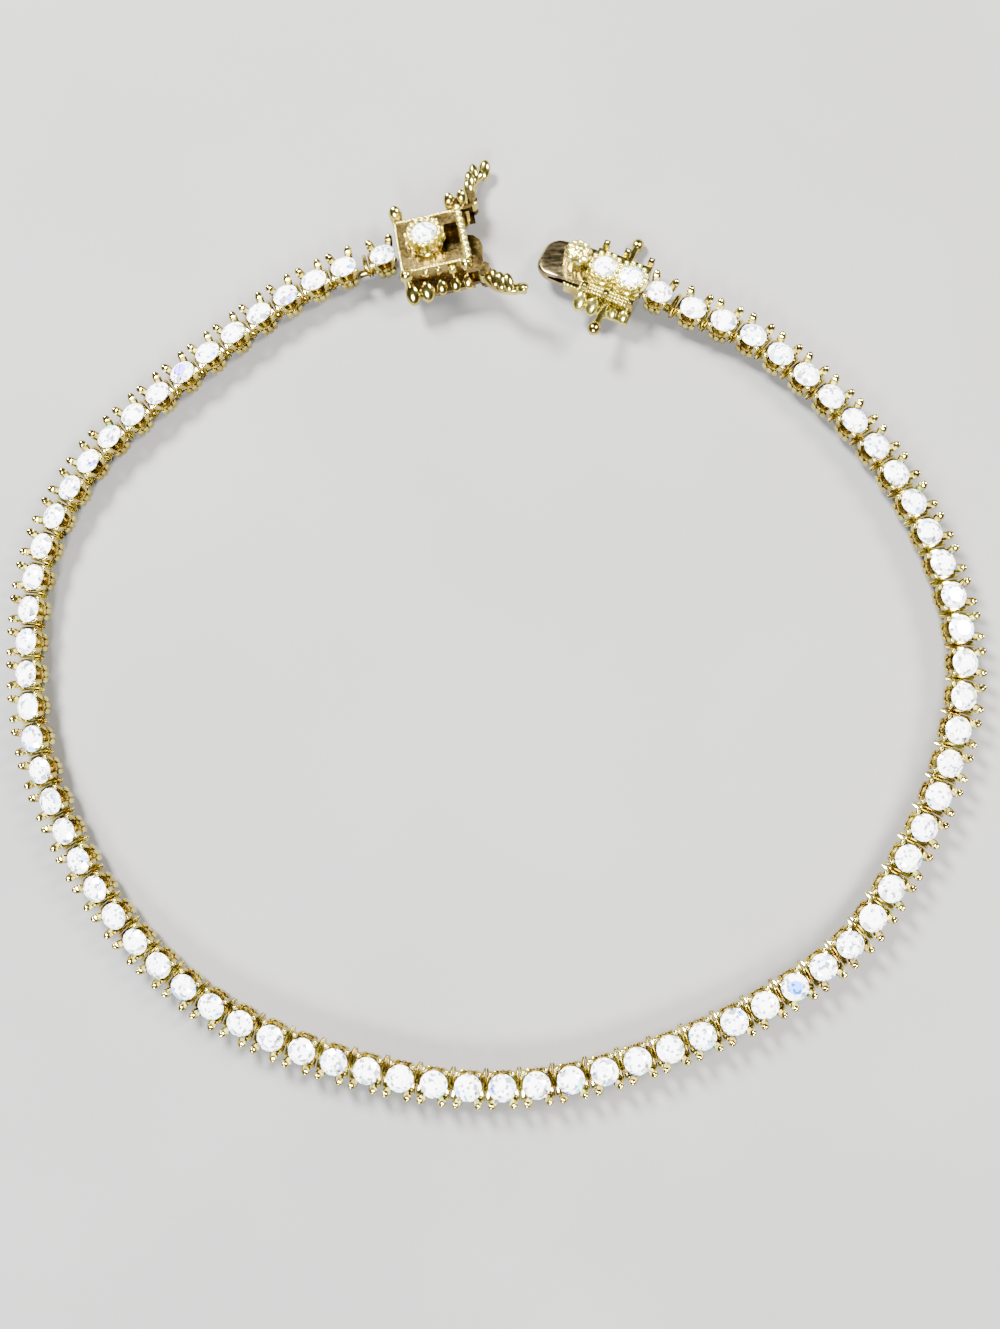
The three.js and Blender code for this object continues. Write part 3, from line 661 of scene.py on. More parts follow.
@dataclass
class Chain:
    """The links: where each one lies, and its collet, gallery, prongs and hinge."""

    route: list[tuple[float, float]] = field(
        default_factory=lambda: [
            (-7.0, 28.1), (-9.8, 27.3), (-13.8, 25.4), (-17.5, 22.8), (-22.8, 18.6), (-27.5, 14.0),
            (-30.7, 7.9), (-31.5, 1.0), (-30.7, -5.9), (-28.1, -12.2), (-24.4, -17.7), (-19.4, -22.2),
            (-13.5, -25.3), (-7.2, -27.2), (-0.8, -28.1), (5.7, -27.5), (12.3, -25.4), (18.1, -22.7),
            (23.7, -18.7), (27.3, -13.5), (30.1, -7.6), (31.4, -1.0), (30.3, 5.5), (27.5, 11.7),
            (23.5, 17.0), (18.5, 21.4), (14.3, 23.6), (12.0, 24.8),
        ]
    )
    lean_shares: tuple[float, ...] = (0.0, 0.16, 0.34, 0.42, 0.5, 0.58, 0.68, 0.8, 1.0)
    lean_degrees: tuple[float, ...] = (24, 22, 20, 14, 3, 2, 9, 17, 21)
    pitch: float = 2.24
    box_play: float = 0.6
    tongue_play: float = 0.35
    girdle_level: float = 1.75
    foot_width: float = 1.4
    hinge_depth: float = 1.0
    samples: int = 3000
    stone: Brilliant = field(default_factory=Brilliant)

    def curve(self, t: Array) -> Array:
        """The route at t from 0 to 1: uniform Catmull-Rom through the points, tension 0.5.

        Between p1 and p2, with u from 0 to 1: p1 + m1 u + (3 d - 2 m1 - m2) u^2 + (m1 + m2 - 2 d) u^3,
        where d = p2 - p1, m1 = (p2 - p0) / 2 and m2 = (p3 - p1) / 2.
        """
        points = np.array(self.route)
        padded = np.concatenate([2 * points[:1] - points[1:2], points, 2 * points[-1:] - points[-2:-1]])
        place = t * (len(points) - 1)
        before = np.clip(np.floor(place).astype(int), 0, len(points) - 2)
        u = (place - before)[:, None]
        p0, p1, p2, p3 = (padded[before + step] for step in range(4))
        m1, m2, d = (p2 - p0) / 2, (p3 - p1) / 2, p2 - p1
        return p1 + m1 * u + (3 * d - 2 * m1 - m2) * u**2 + (m1 + m2 - 2 * d) * u**3

    def link_frames(self) -> tuple[Array, Array]:
        """Each link's matrix, in the route's own axes, and its heading in radians.

        Local X runs along the route, Y to the inside of the loop and Z up through the stone, with the
        origin at the girdle: T(x, y, h) Rz(heading) Rx(lean), h = girdle cos(lean) + foot / 2 sin(lean).
        """
        t = np.linspace(0, 1, self.samples + 1)
        points = self.curve(t)
        lengths = np.concatenate([[0], np.cumsum(np.linalg.norm(np.diff(points, axis=0), axis=1))])
        play = self.box_play + self.tongue_play
        steps = round((lengths[-1] - play) / self.pitch)
        even = (lengths[-1] - play) / steps
        distances = np.arange(steps + 1) * even + self.box_play
        distances[0] = 0
        distances[-1] = lengths[-1]
        at = np.interp(distances, lengths, t)
        place = self.curve(at)
        small = 1e-4
        ahead = self.curve(np.clip(at + small, 0, 1)) - self.curve(np.clip(at - small, 0, 1))
        heading = np.arctan2(ahead[:, 1], ahead[:, 0])
        lean = np.radians(np.interp(distances / lengths[-1], self.lean_shares, self.lean_degrees))
        height = self.girdle_level * np.cos(lean) + self.foot_width / 2 * np.sin(np.abs(lean))
        zero, one = np.zeros_like(lean), np.ones_like(lean)
        ch, sh, cl, sl = np.cos(heading), np.sin(heading), np.cos(lean), np.sin(lean)
        rows = [
            [ch, -sh * cl, sh * sl, place[:, 0]],
            [sh, ch * cl, -ch * sl, place[:, 1]],
            [zero, sl, cl, height],
            [zero, zero, zero, one],
        ]
        return np.array(rows).transpose(2, 0, 1), heading

    def shift(self, frames: Array) -> Array:
        """How far the CAD part lies from the route's own axes.

        The prongs' outer corners reach furthest left and furthest down, so the CAD halves' lowest x and
        y less those corners' lowest x and y give the shift.
        """
        along, across, tip, high = 1.54 / 2, 2.0 / 2, 0.28 / 2, 0.26
        signs = np.array([[a, b, c, d] for a in (-1, 1) for b in (-1, 1) for c in (-1, 1) for d in (-1, 1)])
        x, y = signs[:, 0] * along + signs[:, 2] * tip, signs[:, 1] * across + signs[:, 3] * tip
        corners = np.stack([x, y, np.full(16, high), np.ones(16)], axis=1)
        reach = np.einsum("kij,nj->kni", frames, corners)[..., :3].reshape(-1, 3).min(axis=0)
        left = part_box("link_chain_left")[0].x / MM
        low = min(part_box("link_chain_right")[0].y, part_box("link_chain_left")[0].y) / MM
        return np.array([left - reach[0], low - reach[1], 0.0])

    def prong(self, along: int, across: int) -> Surface:
        """One prong: a rod that leaves the gallery, leans out past the girdle and ends in a polished oval.

        The half width is 0.15 mm plus a swell towards the tip, of 0.15 mm on the outer side and 0.06 mm
        on the inner side.

        Args:
            along: -1 or 1 along the chain.
            across: -1 for the outer side and 1 for the inner side.

        Returns:
            The prong in the link's own axes.
        """
        outer = across < 0
        tip_y, tip_z = (1.16, 0.58) if outer else (1.00, 0.30)
        t = np.array([0.0, 0.3, 0.55, 0.68, 0.76, 0.84, 0.91, 0.96, 0.99, 1.0])
        half = 0.15 + (0.15 if outer else 0.06) * np.clip((t - 0.30) / 0.3, 0, 1)
        foot, knee = (along * 0.30, across * 0.60, -1.25), (along * 0.58, across * 0.80, -0.35)
        points = (foot, knee, (along * 0.78, across * tip_y, tip_z))
        return claw(points, t, half, 0.2, 0.9, np.array((along * 0.8, -across * 0.6, 0.0)), 8)

    def gallery(self) -> Surface:
        """The two-tier gallery, whose lower rim is cut into petals.

        Its outline is the superellipse x = sign(cos a) |cos a|^(2 / 3), y likewise with sin a. Near the
        foot it is pulled in by up to a tenth and raised by up to 0.16 mm, both times |cos 2a|, which
        leaves a petal at each corner.
        """
        foot = -self.girdle_level
        levels = np.array(
            [
                (foot, 0.28, 0.48), (foot + 0.04, 0.38, 0.60), (foot + 0.14, 0.44, 0.66),
                (foot + 0.30, 0.47, 0.72), (foot + 0.50, 0.48, 0.76), (foot + 0.55, 0.46, 0.74),
                (foot + 0.58, 0.42, 0.70), (foot + 0.63, 0.42, 0.70), (foot + 0.66, 0.46, 0.74),
                (foot + 0.72, 0.52, 0.80), (foot + 1.04, 0.55, 0.90), (foot + 1.12, 0.52, 0.87),
                (foot + 1.14, 0.40, 0.72),
            ]
        )
        turn = around(24)
        x, y = (np.sign(part) * np.abs(part) ** (2 / 3) for part in (np.cos(turn), np.sin(turn)))
        notch = np.abs(np.cos(2 * turn)) * np.clip((foot + 0.5 - levels[:, :1]) / 0.5, 0, 1)
        wide, deep = levels[:, 1:2] * (1 - 0.10 * notch), levels[:, 2:3] * (1 - 0.08 * notch)
        return closed_rings(np.stack([x * wide, y * deep, levels[:, :1] + 0.16 * notch], axis=-1))

    def collet(self) -> Surface:
        """The cup under the girdle: out and up to its rim, over it and down inside."""
        levels = [
            (-0.72, 0.42), (-0.58, 0.55), (-0.40, 0.70), (-0.24, 0.80), (-0.14, 0.84), (-0.08, 0.82),
            (-0.10, 0.78), (-0.30, 0.56), (-0.55, 0.26),
        ]
        return lofted([(z, r, r) for z, r in levels], columns=14)

    def knuckles(self) -> Surface:
        """The hinge halfway to the next link: two straps side by side across the chain, over an arm.

        A strap runs from a blunt outer end to a pointed inner end. Its half width is 0.18 mm, times the
        share of the taper that lies ahead to the power 0.6, and its level is -0.29 - 0.24 (y - 0.1)^2.
        """
        across = np.linspace(-0.92, 1.20, 13)
        reach = np.clip(np.minimum((across + 1.0) / 0.3, (1.26 - across) / 0.7), 0.1, 1) ** 0.6
        bars = []
        for side in (-1, 1):
            x = self.pitch / 2 + side * (0.025 + 0.18 * reach)
            z = -0.29 - 0.24 * (across - 0.1) ** 2
            path = np.stack([x, across, z], axis=1)
            bars.append(along_path(path, 0.18 * reach, 0.26 * reach, np.array((1.0, 0, 0)), 10))
        arm_path = np.linspace((0.3, 0, -1.1), (self.pitch - 0.3, 0, -1.1), 6)
        bars.append(along_path(arm_path, np.full(6, 0.42), np.full(6, 0.15), np.array((0, 1.0, 0)), 8))
        return joined(bars)

    def petals(self) -> Surface:
        """Three pointed petals on each side of the gallery, like the backs of small claws.

        Each is an oval of 0.48 x 0.3 x 1.12 mm whose top leans outwards, and the middle one hangs lower.
        """
        spots = []
        for across in (-1, 1):
            for x, drop in ((-0.40, 0.0), (0.0, 0.10), (0.40, 0.0)):
                spots.append(pointed((x * 0.3, across * 0.42, 1.0), (x * 1.1, across * 0.76, -1.12 - drop)))
        return oval((0.24, 0.15, 0.56), 8, 8).repeated(np.array(spots))

    def build(self, shop: Workshop, frames: Array) -> None:
        """Makes both halves of the chain: settings, hinges and stones.

        Args:
            shop: makes the pieces.
            frames: each link's matrix in the frame's own axes.
        """
        prongs = [self.prong(along, across) for along in (-1, 1) for across in (-1, 1)]
        setting = joined([self.petals(), self.collet(), *prongs])
        half = math.ceil(len(frames) / 2)
        sides = (("left", frames[:half], frames[:half], 11), ("right", frames[half:], frames[half:-1], 23))
        for name, links, hinged, seed in sides:
            node = f"link_chain_{name}"
            shop.piece(f"settings_{name}", setting.repeated(links), Finish.POLISHED, replaces=(node,))
            # The galleries take the darker finish: painted shade between the stones
            shop.piece(f"galleries_{name}", self.gallery().repeated(links), Finish.RECESSED)
            shop.piece(f"hinges_{name}", self.knuckles().repeated(hinged), Finish.POLISHED)
            shop.piece(f"stones_{name}", self.stone.many(links, seed), Finish.BRILLIANT, crease=None)


# The clasp


@dataclass
class ClaspHalf:
    """What both halves of the clasp share: their frame, round heads, posts and beaded edges."""

    width: float
    height: float
    rear: float
    length: float
    lean: float
    turn: float
    shift: float
    lift: float
    side: int
    reach: float = 1.25
    spread: float = 0.3
    head_radius: float = 1.09

    def matrix(self, link: Array, heading: float, chain: Chain) -> Array:
        """The half's own frame: its pin at the chain's end hinge and its foot near the ground.

        T(hinge) Rz(heading) Rx(lean) T(0, shift, -pin), where pin is the pin's height over the foot.
        """
        hinge = link @ np.array((self.side * self.reach, 0, -chain.hinge_depth, 1.0))
        slope = math.radians(self.lean)
        edge = self.width / 2 + self.spread - self.shift
        pin = (hinge[2] - self.lift - edge * math.sin(slope)) / math.cos(slope)
        facing = math.degrees(heading) + (180 if self.side < 0 else 0) + self.turn
        turn = turned("Z", facing) @ turned("X", self.side * self.lean)
        return moved(*hinge[:3]) @ turn @ moved(0, self.side * self.shift, -pin)

    def beaded_head(self, x: float, foot: float, rim: float, beads: int) -> Surface:
        """A round head: a smooth cup whose rim is cut into beads that hold the stone.

        Args:
            x: its place along the half.
            foot: the level that it stands on.
            rim: the level of its rim.
            beads: how many beads stand on the rim.

        Returns:
            Cup, foot ring and beads.
        """
        r = self.head_radius
        levels = [
            (foot - 0.1, r + 0.06), (foot + 0.05, r + 0.10), (foot + 0.12, r + 0.04), (rim - 0.22, r + 0.02),
            (rim - 0.06, r + 0.05), (rim, r), (rim + 0.01, r - 0.08), (rim - 0.12, r - 0.17),
            (rim - 0.5, r - 0.5), (rim - 0.9, 0.2),
        ]
        cup = lofted([(z, s, s) for z, s in levels], columns=40).placed(moved(x, 0, 0))
        turns, reach = around(beads), r - 0.04
        spots = np.stack([x + reach * np.cos(turns), reach * np.sin(turns), np.full(beads, rim + 0.02)], axis=1)
        return joined([cup, oval((0.19, 0.19, 0.20), 7, 10).repeated(upright(spots))])

    def post(self, x: float, side: int, top: float, size: float = 1.0, out: float = 0.42) -> Surface:
        """A claw-like corner post that leans out and ends in a long polished oval.

        Args:
            x: its place along the half.
            side: -1 or 1 along Y.
            top: the level of its tip.
            size: scales the oval tip.
            out: how far the tip stands out from the wall.

        Returns:
            The post.
        """
        half = self.width / 2
        t = np.array([0.0, 0.25, 0.5, 0.66, 0.74, 0.82, 0.90, 0.95, 0.985, 1.0])
        wide = (0.24 + 0.09 * np.clip((t - 0.45) / 0.3, 0, 1)) * size
        steps = ((half - 0.02, 0.35), (half + 0.10, top * 0.62), (half + out, top))
        points = tuple((x, side * y, z) for y, z in steps)
        return claw(points, t, wide, 0.26, 0.85, np.array((1.0, 0.0, 0.0)), 12)

    def beads_along(self, start: tuple[float, float, float], end: tuple[float, float, float], size: float) -> Surface:
        """A milled edge: beads side by side from one place to another."""
        first, last = np.array(start), np.array(end)
        count = max(int(np.linalg.norm(last - first) / (1.7 * size)), 2)
        spots = first + np.linspace(0, 1, count)[:, None] * (last - first)
        return oval((size, size, size), 6, 8).repeated(upright(spots))

    def petals(self, places: list[float], reach: float, size: float) -> Surface:
        """Pointed petals round the foot of the inner side, each an oval that leans out and down.

        Args:
            places: where they stand along X.
            reach: how far their middle lies from the half's middle line.
            size: half the width of a petal.

        Returns:
            The petals.
        """
        inner = -1 if self.side < 0 else 1
        spots = [pointed((0, inner * 0.75, -0.85), (x, inner * reach, 0.42)) for x in places]
        return oval((size, size * 0.6, size * 1.5), 11, 14).repeated(np.array(spots))


@dataclass
class BoxHalf(ClaspHalf):
    """The box half: housing, high beaded head with drops, front bar, milled edges, posts and petals."""

    width: float = 4.4
    height: float = 2.1
    rear: float = -0.12
    length: float = 4.75
    lean: float = 16
    turn: float = -5
    shift: float = 0.55
    lift: float = 0.3
    side: int = -1
    head_place: float = 2.05
    head_height: float = 1.1
    head_rim: float = 0.14
    bar_back: float = 0.21
    bar_slant: float = 0.12

    def drops(self, x: float) -> Surface:
        """Twelve long drops that lean on the wall of the head, as on the gallery of a ring."""
        bearings = (np.arange(12) + 0.5) * np.pi / 6
        spots = [
            pointed((0.35 * math.cos(a), 0.35 * math.sin(a), 1.0), (x + 1.2 * math.cos(a), 1.2 * math.sin(a), 2.5))
            for a in bearings
        ]
        return oval((0.22, 0.18, 0.55), 8, 10).repeated(np.array(spots))

    def build(self, shop: Workshop, place: Array) -> None:
        """Makes the box half's pieces at its frame."""
        front = self.rear + self.length
        half = self.width / 2
        head = self.rear + self.head_place
        rim = self.height + self.head_height
        # The housing takes the darker finish: painted shade round and under the head
        shop.softened("box_housing", "clasp_box", Finish.BOX_PAINTED_SHADE, 0.07)
        raised = joined([self.beaded_head(head, self.height, rim, 16), self.drops(head)])
        shop.piece("box_head", raised.placed(place), Finish.MILLED_PAINTED_HIGHLIGHT)
        posts = [
            self.post(x, side, self.height + above, size, out)
            for x, side, above, size, out in (
                (self.rear + 0.3, 1, 0.75, 1.45, 0.80),
                (self.rear + 0.3, -1, 0.55, 1.5, 0.42),
                (front - 0.62, 1, 0.85, 1.25, 0.80),
                (front + 0.26, 1, 0.90, 1.25, 0.80),
                (front - 0.3, -1, 0.45, 1.5, 0.42),
                (front - 1.3, -1, 0.10, 1.1, 0.42),
            )
        ]
        shop.piece("box_posts", joined(posts).placed(place), Finish.POLISHED)
        bar_x, bar_end, level = front - self.bar_back, half + 0.05, self.height + 0.12
        bar_path = np.linspace((bar_x, bar_end, level), (bar_x + self.bar_slant, -bar_end, level), 14)
        ends = np.clip(1 - np.linspace(-1, 1, 14) ** 8, 0.1, 1) ** 0.5
        bar = along_path(bar_path, 0.22 * ends, 0.20 * ends, np.array((1.0, 0, 0)), 12)
        edge, top, back = half - 0.1, self.height + 0.24, self.rear + 0.1
        beads = self.beads_along((bar_x, edge, top), (bar_x + self.bar_slant, -edge, top), 0.27)
        rows = [((back, edge), (back, -edge)), *(((back, y), (front - 0.5, y)) for y in (-edge, edge))]
        edges = [self.beads_along((*first, self.height), (*last, self.height), 0.12) for first, last in rows]
        shop.piece("box_front_bar", joined([bar, beads, *edges]).placed(place), Finish.MILLED_PAINTED_HIGHLIGHT)
        large, small = self.petals([0.30, 1.30], half + 0.62, 0.50), self.petals([2.35, 3.30, 4.2], half + 0.50, 0.38)
        upper = [
            oval((0.20, 0.16, 0.34), 8, 10).placed(pointed((0, -0.5, -0.8), (x, -half - 0.05, z)))
            for x, z in ((head - 0.4, self.height - 0.35), (head + 0.45, self.height - 0.35), (head + 1.6, 1.5))
        ]
        shop.piece("box_petals", joined([large, small, *upper]).placed(place), Finish.POLISHED)
        stone = np.array([place @ moved(head, 0, rim - self.head_rim)])
        shop.piece(
            "box_stone", Brilliant().many(stone, 5), Finish.BRILLIANT, replaces=("clasp_box_stone",), crease=None
        )


@dataclass
class TongueHalf(ClaspHalf):
    """The tongue half: two low heads, posts, pegs, the folded leaf and its knob."""

    width: float = 3.3
    height: float = 1.6
    rear: float = -0.12
    length: float = 3.9
    lean: float = 19
    turn: float = 3
    shift: float = 0.25
    lift: float = 0.0
    side: int = 1
    head_height: float = 0.5
    head_rim: float = 0.14
    head_places: tuple[float, ...] = (0.96, 2.82)
    post_places: tuple[float, ...] = (0.2, 1.96, 3.5)
    peg_place: float = 1.6
    peg_level: float = 1.0
    peg_outer: float = 3.49
    peg_inner: float = 4.29
    peg_radius: float = 0.28
    peg_ball: tuple[float, float, float] = (0.45, 0.50, 0.45)
    leaf_rear: float = 3.86
    leaf_knee: float = 5.08
    leaf_tip: float = 7.33
    leaf_width: float = 3.1
    knob_place: float = 0.9
    knob_foot: float = 1.05
    knob_top: float = 2.84

    def knob(self) -> Surface:
        """The knob that frees the leaf: a round button, fluted, with a shallow dome.

        The radius is r (1 + 0.07 f cos 12a), where f says how deep the flutes are at that height.
        """
        rows = np.array(
            [
                (self.knob_foot, 0.80, 0.0), (self.knob_foot + 0.12, 0.90, 0.6), (self.knob_top - 0.80, 0.90, 1.0),
                (self.knob_top - 0.52, 0.92, 1.2), (self.knob_top - 0.36, 0.86, 1.4), (self.knob_top - 0.20, 0.70, 1.6),
                (self.knob_top - 0.08, 0.48, 1.4), (self.knob_top, 0.22, 0.8),
            ]
        )
        turn = around(56)
        radius = rows[:, 1:2] * (1 + 0.07 * rows[:, 2:3] * np.cos(12 * turn)[None, :])
        z = np.broadcast_to(rows[:, :1], radius.shape)
        return closed_rings(np.stack([radius * np.cos(turn), radius * np.sin(turn), z], axis=-1))

    def leaf(self) -> Surface:
        """The spring leaf: a strip folded on itself at the tip, with a rounded front.

        Seen from the side, the outer line runs along the floor, round a half circle of 0.36 mm and back
        over a knee; the inner line runs 0.26 mm inside it. Seen from above, the part past the knee is
        squeezed so that the tip falls back by R - sqrt(R^2 - c^2), c = |y| - (half - R), with R = 1 mm.

        Returns:
            A closed surface in the half's own axes.
        """
        rear, knee, tip, half = self.leaf_rear, self.leaf_knee, self.leaf_tip, self.leaf_width / 2
        fold = np.linspace(-90, 90, 13) * np.pi / 180
        lines = []
        for radius, low, bent, high in ((0.36, 0.30, 1.2825, 1.37), (0.10, 0.56, 1.0225, 1.11)):
            arc = np.stack([tip - 0.36 + radius * np.cos(fold), 0.66 + radius * np.sin(fold)], axis=1)
            lines.append(np.concatenate([[(rear, low), (knee, low)], arc, [(knee, bent), (rear, high)]]))
        outline = np.concatenate([lines[0], lines[1][::-1]])
        across = np.sin(np.linspace(-90, 90, 25) * np.pi / 180) * half
        corner = np.clip(np.abs(across) - (half - 1.0), 0, 1)
        drawn = (tip - 1 + np.sqrt(1 - corner**2) - knee) / (tip - knee)
        x = np.where(outline[:, 0] > knee, knee + (outline[:, 0] - knee) * drawn[:, None], outline[:, 0])
        y = np.broadcast_to(across[:, None], x.shape)
        z = np.broadcast_to(outline[:, 1], x.shape)
        rows, columns = x.shape
        number = np.arange(rows * columns).reshape(rows, columns)
        after = np.roll(number, -1, axis=1)
        skin = [squares(number[:-1], number[1:], after[1:], after[:-1])]
        count = columns // 2
        for ring, flip in ((number[0], 1), (number[-1], -1)):
            outer, inner = ring[:count], ring[count:][::-1]
            skin.append(squares(outer[:-1], outer[1:], inner[1:], inner[:-1])[:, ::flip])
        return Surface(np.stack([x, y, z], axis=-1).reshape(-1, 3), np.concatenate(skin))

    def crown(self) -> Surface:
        """Nine beads round the knob's dome and one on its middle, which give a finger its hold."""
        turn = around(9)
        spots = np.stack([0.60 * np.cos(turn), 0.60 * np.sin(turn), np.full(9, self.knob_top - 0.20)], axis=1)
        ring = oval((0.21, 0.21, 0.20), 7, 12).repeated(upright(spots))
        return joined([ring, oval((0.34, 0.34, 0.22), 7, 14).placed(moved(0, 0, self.knob_top - 0.06))])

    def build(self, shop: Workshop, place: Array) -> None:
        """Makes the tongue half's pieces at its frame."""
        half = self.width / 2
        rim = self.height + self.head_height
        front = self.rear + self.length
        shop.softened("tongue_body", "clasp_tongue_base", Finish.POLISHED, 0.06)
        # The leaf's darker, greyer colour is a painted dark reflection
        shop.piece("spring_leaf", self.leaf().placed(place), Finish.SPRING, replaces=("clasp_tongue",))
        heads = [self.beaded_head(self.rear + x, self.height, rim, 14) for x in self.head_places]
        shop.piece("tongue_heads", joined(heads).placed(place), Finish.MILLED_PAINTED_HIGHLIGHT)
        posts = [self.post(self.rear + x, s, self.height + 0.42, 0.8) for x in self.post_places for s in (-1, 1)]
        shop.piece("tongue_posts", joined(posts).placed(place), Finish.POLISHED)
        sides = (-self.peg_outer, self.peg_inner)
        first, last = ((self.peg_place, y, self.peg_level) for y in sides)
        thick = np.full(12, self.peg_radius)
        rod = along_path(np.linspace(first, last, 12), thick, thick, np.array((1.0, 0, 0)), 16)
        balls = [oval(self.peg_ball, 12, 18).placed(moved(*end)) for end in (first, last)]
        shop.piece("pegs", joined([rod, *balls]).placed(place), Finish.POLISHED)
        back, ahead = self.rear + 0.1, front - 0.1
        rows = [
            self.beads_along((back, half + y, self.height + z), (ahead, half + y, self.height + z), 0.11)
            for y, z in ((-0.08, 0.04), (0.12, -0.04), (0.28, -0.20))
        ]
        foot = self.beads_along((front + 0.1, half + 0.05, 0.85), (front + 1.1, half + 0.05, 0.85), 0.11)
        lobes = [self.petals([0.3, 1.1], half + 0.5, 0.34), self.petals([2.55, 3.45], half + 0.62, 0.48)]
        shop.piece("tongue_edges", joined([*rows, foot, *lobes]).placed(place), Finish.MILLED_PAINTED_HIGHLIGHT)
        knob = joined([self.knob(), self.crown()]).placed(moved(front + 0.08 + self.knob_place, 0, 0))
        shop.piece("tongue_knob", knob.placed(place), Finish.MILLED_PAINTED_HIGHLIGHT)
        for number, x in enumerate(self.head_places, start=1):
            stone = np.array([place @ moved(self.rear + x, 0, rim - self.head_rim)])
            shop.piece(
                f"tongue_stone_{number}",
                Brilliant().many(stone, 40 + number),
                Finish.BRILLIANT,
                replaces=(f"clasp_tongue_stone_{number}",),
                crease=None,
            )


@dataclass
class SafetyCatch:
    """One safety catch, opened as it lies: barrel, bowed arm with oval beads, and the eye at its end."""

    name: str
    body: str
    outward: int
    opening: float
    bead_places: tuple[float, ...]
    pivot_x: float = 5.43
    pivot_y: float = 3.06
    level: float = 1.3
    length: float = 2.85
    bow: float = 0.34
    hook: float = 0.34
    height: float = 0.86
    thickness: float = 0.80
    barrel: float = 0.48
    barrel_end: float = 0.40
    chamfer: float = 0.06
    bead_size: tuple[float, float, float] = (0.36, 0.285, 0.665)
    bead_side: float = 0.16
    samples: int = 18

    def line(self, p: Array) -> Array:
        """The arm's middle line at shares p of it: (L p, outward (bow sin(pi p) - hook p^3), 0)."""
        y = self.outward * (self.bow * np.sin(np.pi * p) - self.hook * p**3)
        return np.stack([self.length * p, y, np.zeros(len(p))], axis=1)

    def build(self, shop: Workshop, box: Array) -> None:
        """Makes the catch at its pivot on the box."""
        place = box @ moved(self.pivot_x, self.outward * self.pivot_y, self.level)
        place = place @ turned("Z", self.outward * self.opening)
        p = np.linspace(0, 1, self.samples)
        path, half = self.line(p), self.height / 2
        ends = np.clip(1 - np.abs(2 * p - 1) ** 10, 0.05, 1) ** 0.5
        wide, high = self.thickness / 2 * ends, (half - self.chamfer * p) * ends
        arm = along_path(path, wide, high, np.array((0, 1.0, 0)), 16)
        levels = [(half, self.barrel_end), (half - self.chamfer, self.barrel)]
        levels = [(-z, r) for z, r in levels] + levels[::-1]
        barrel = lofted([(z, r, r) for z, r in levels])
        swing = math.radians(self.outward * self.opening)
        x, y = math.sin(swing), math.cos(swing)
        beads = []
        for part in self.bead_places:
            at = path[round(part * (self.samples - 1))]
            spot = (at[0] + self.bead_side * x, at[1] + self.bead_side * y, half + self.chamfer)
            beads.append(oval(self.bead_size, 10, 16).placed(pointed((x, y, 0.55), spot)))
        tip = path[-1]
        end = oval((0.45, 0.34, 0.72), 11, 18).placed(pointed((0.8, 0.0, 0.6), (tip[0] - 0.05, tip[1], 0.10)))
        eye = ring_shape(0.30, 0.13).placed(moved(tip[0], tip[1], -0.05) @ turned("X", 90))
        made = joined([arm, barrel, *beads, end, eye])
        shop.piece(
            self.name, made.placed(place), Finish.POLISHED, self.body, replaces=(self.name.replace("_piece", ""),)
        )


# The studio


@dataclass(frozen=True)
class Lamp:
    """A soft lamp over the floor."""

    name: str
    place: tuple[float, float, float]
    size: float
    power: float
    colour: str


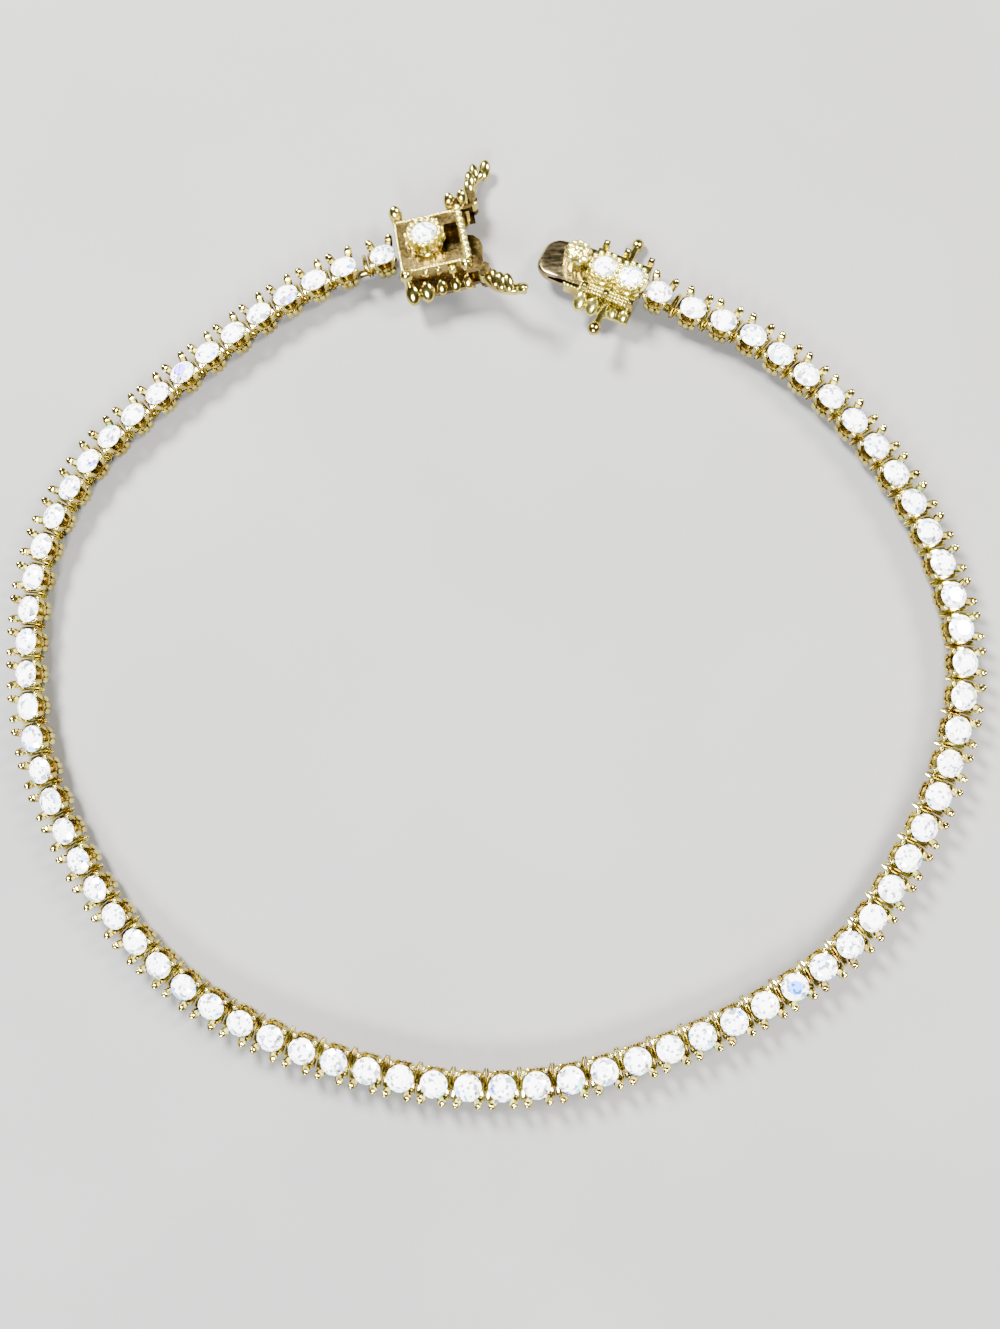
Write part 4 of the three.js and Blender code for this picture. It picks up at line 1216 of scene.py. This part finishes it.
@dataclass
class Studio:
    """Floor, lamps, sky and camera.

    The camera's place is in the route's own axes, in millimetres, its tilt and roll are in degrees, and
    its trim is a last small turn about the axes, in radians.
    """

    lamps: tuple[Lamp, ...] = (
        Lamp("key", (-0.12, 0.16, 0.24), 0.09, 9.4, "#FFFFFF"),
        Lamp("fill", (0.20, 0.06, 0.22), 0.10, 4.4, "#FFFCF4"),
        Lamp("low", (-0.02, -0.22, 0.20), 0.10, 4.4, "#F8FAFF"),
    )
    place: tuple[float, float, float] = (8.681, -11.830, 100.849)
    tilt: float = 10.2
    roll: float = -34.9
    trim: tuple[float, float, float] = (-0.03356, -0.02384, -0.00912)
    lens: float = 54.0

    def floor(self) -> None:
        """A pale floor under the bracelet, its tone drifting a little."""
        material, tree, shader = new_material("studio_floor_matt_paper")
        place = add_node(tree, "ShaderNodeTexCoord").outputs["Object"]
        tone = ramp_between(tree, noise(tree, place, 25.0, 3.0, 0.5), [(0.3, "#5F5E5D"), (0.7, "#656463")])
        set_up(tree, shader, {"Roughness": 0.8}, {"Base Color": tone})
        mesh = bpy.data.meshes.new("studio_floor")
        mesh.from_pydata([(-3, -3, 0), (3, -3, 0), (3, 3, 0), (-3, 3, 0)], [], [(0, 1, 2, 3)])
        mesh.materials.append(material)
        in_scene("studio_floor", mesh)

    def light(self) -> None:
        """Soft lamps round the bracelet and a grey sky between them."""
        for lamp in self.lamps:
            data = bpy.data.lights.new(lamp.name, "AREA")
            data.shape = "DISK"
            data.size = lamp.size
            data.energy = lamp.power
            data.color = linear(lamp.colour)[:3]
            in_scene(lamp.name, data).matrix_world = Matrix(pointed(lamp.place, lamp.place).tolist())
        world = bpy.data.worlds.new("studio_sky")
        world.use_nodes = True
        sky = world.node_tree.nodes["Background"]
        set_up(world.node_tree, sky, {"Color": linear("#B9BCC2"), "Strength": 0.14})
        bpy.context.scene.world = world

    def camera(self, shift: Array) -> None:
        """The camera at the photograph's angle: nearly overhead, tilted by about ten degrees.

        Args:
            shift: from the route's own axes to the frame's, in millimetres.
        """
        turn = turned("Z", -self.roll) @ turned("X", self.tilt) @ turned("Z", self.roll)
        small = np.array(self.trim)
        angle = float(np.linalg.norm(small))
        matrix = np.array(Matrix.Rotation(angle, 4, (small / angle).tolist())) @ turn
        matrix[:3, 3] = (np.array(self.place) + shift) * MM
        data = bpy.data.cameras.new("photo_camera")
        data.sensor_fit = "HORIZONTAL"
        data.sensor_width = 36.0
        data.lens = self.lens
        data.clip_start = 0.005
        data.clip_end = 20.0
        made = in_scene("photo_camera", data)
        made.matrix_world = Matrix(matrix.tolist())
        bpy.context.scene.camera = made


def main() -> None:
    """Builds the bracelet piece by piece."""
    logging.basicConfig(level=logging.INFO, format="%(message)s")
    shop = Workshop()
    chain = Chain()
    frames, headings = chain.link_frames()
    shift = chain.shift(frames)
    LOG.info("links: %d, shift: %s mm", len(frames), np.round(shift, 4))
    studio = Studio()
    studio.camera(shift)
    placed = frames.copy()
    placed[:, :3, 3] += shift
    chain.build(shop, placed)
    box, tongue = BoxHalf(), TongueHalf()
    box_place = box.matrix(placed[0], headings[0], chain)
    box.build(shop, box_place)
    tongue.build(shop, tongue.matrix(placed[-1], headings[-1], chain))
    SafetyCatch("safety_catch_upper_piece", "upper_catch", 1, 68, (0.26, 0.47, 0.68)).build(shop, box_place)
    SafetyCatch("safety_catch_lower_piece", "lower_catch", -1, 47, (0.42, 0.60, 0.78)).build(shop, box_place)
    studio.floor()
    studio.light()


if __name__ == "__main__":
    main()
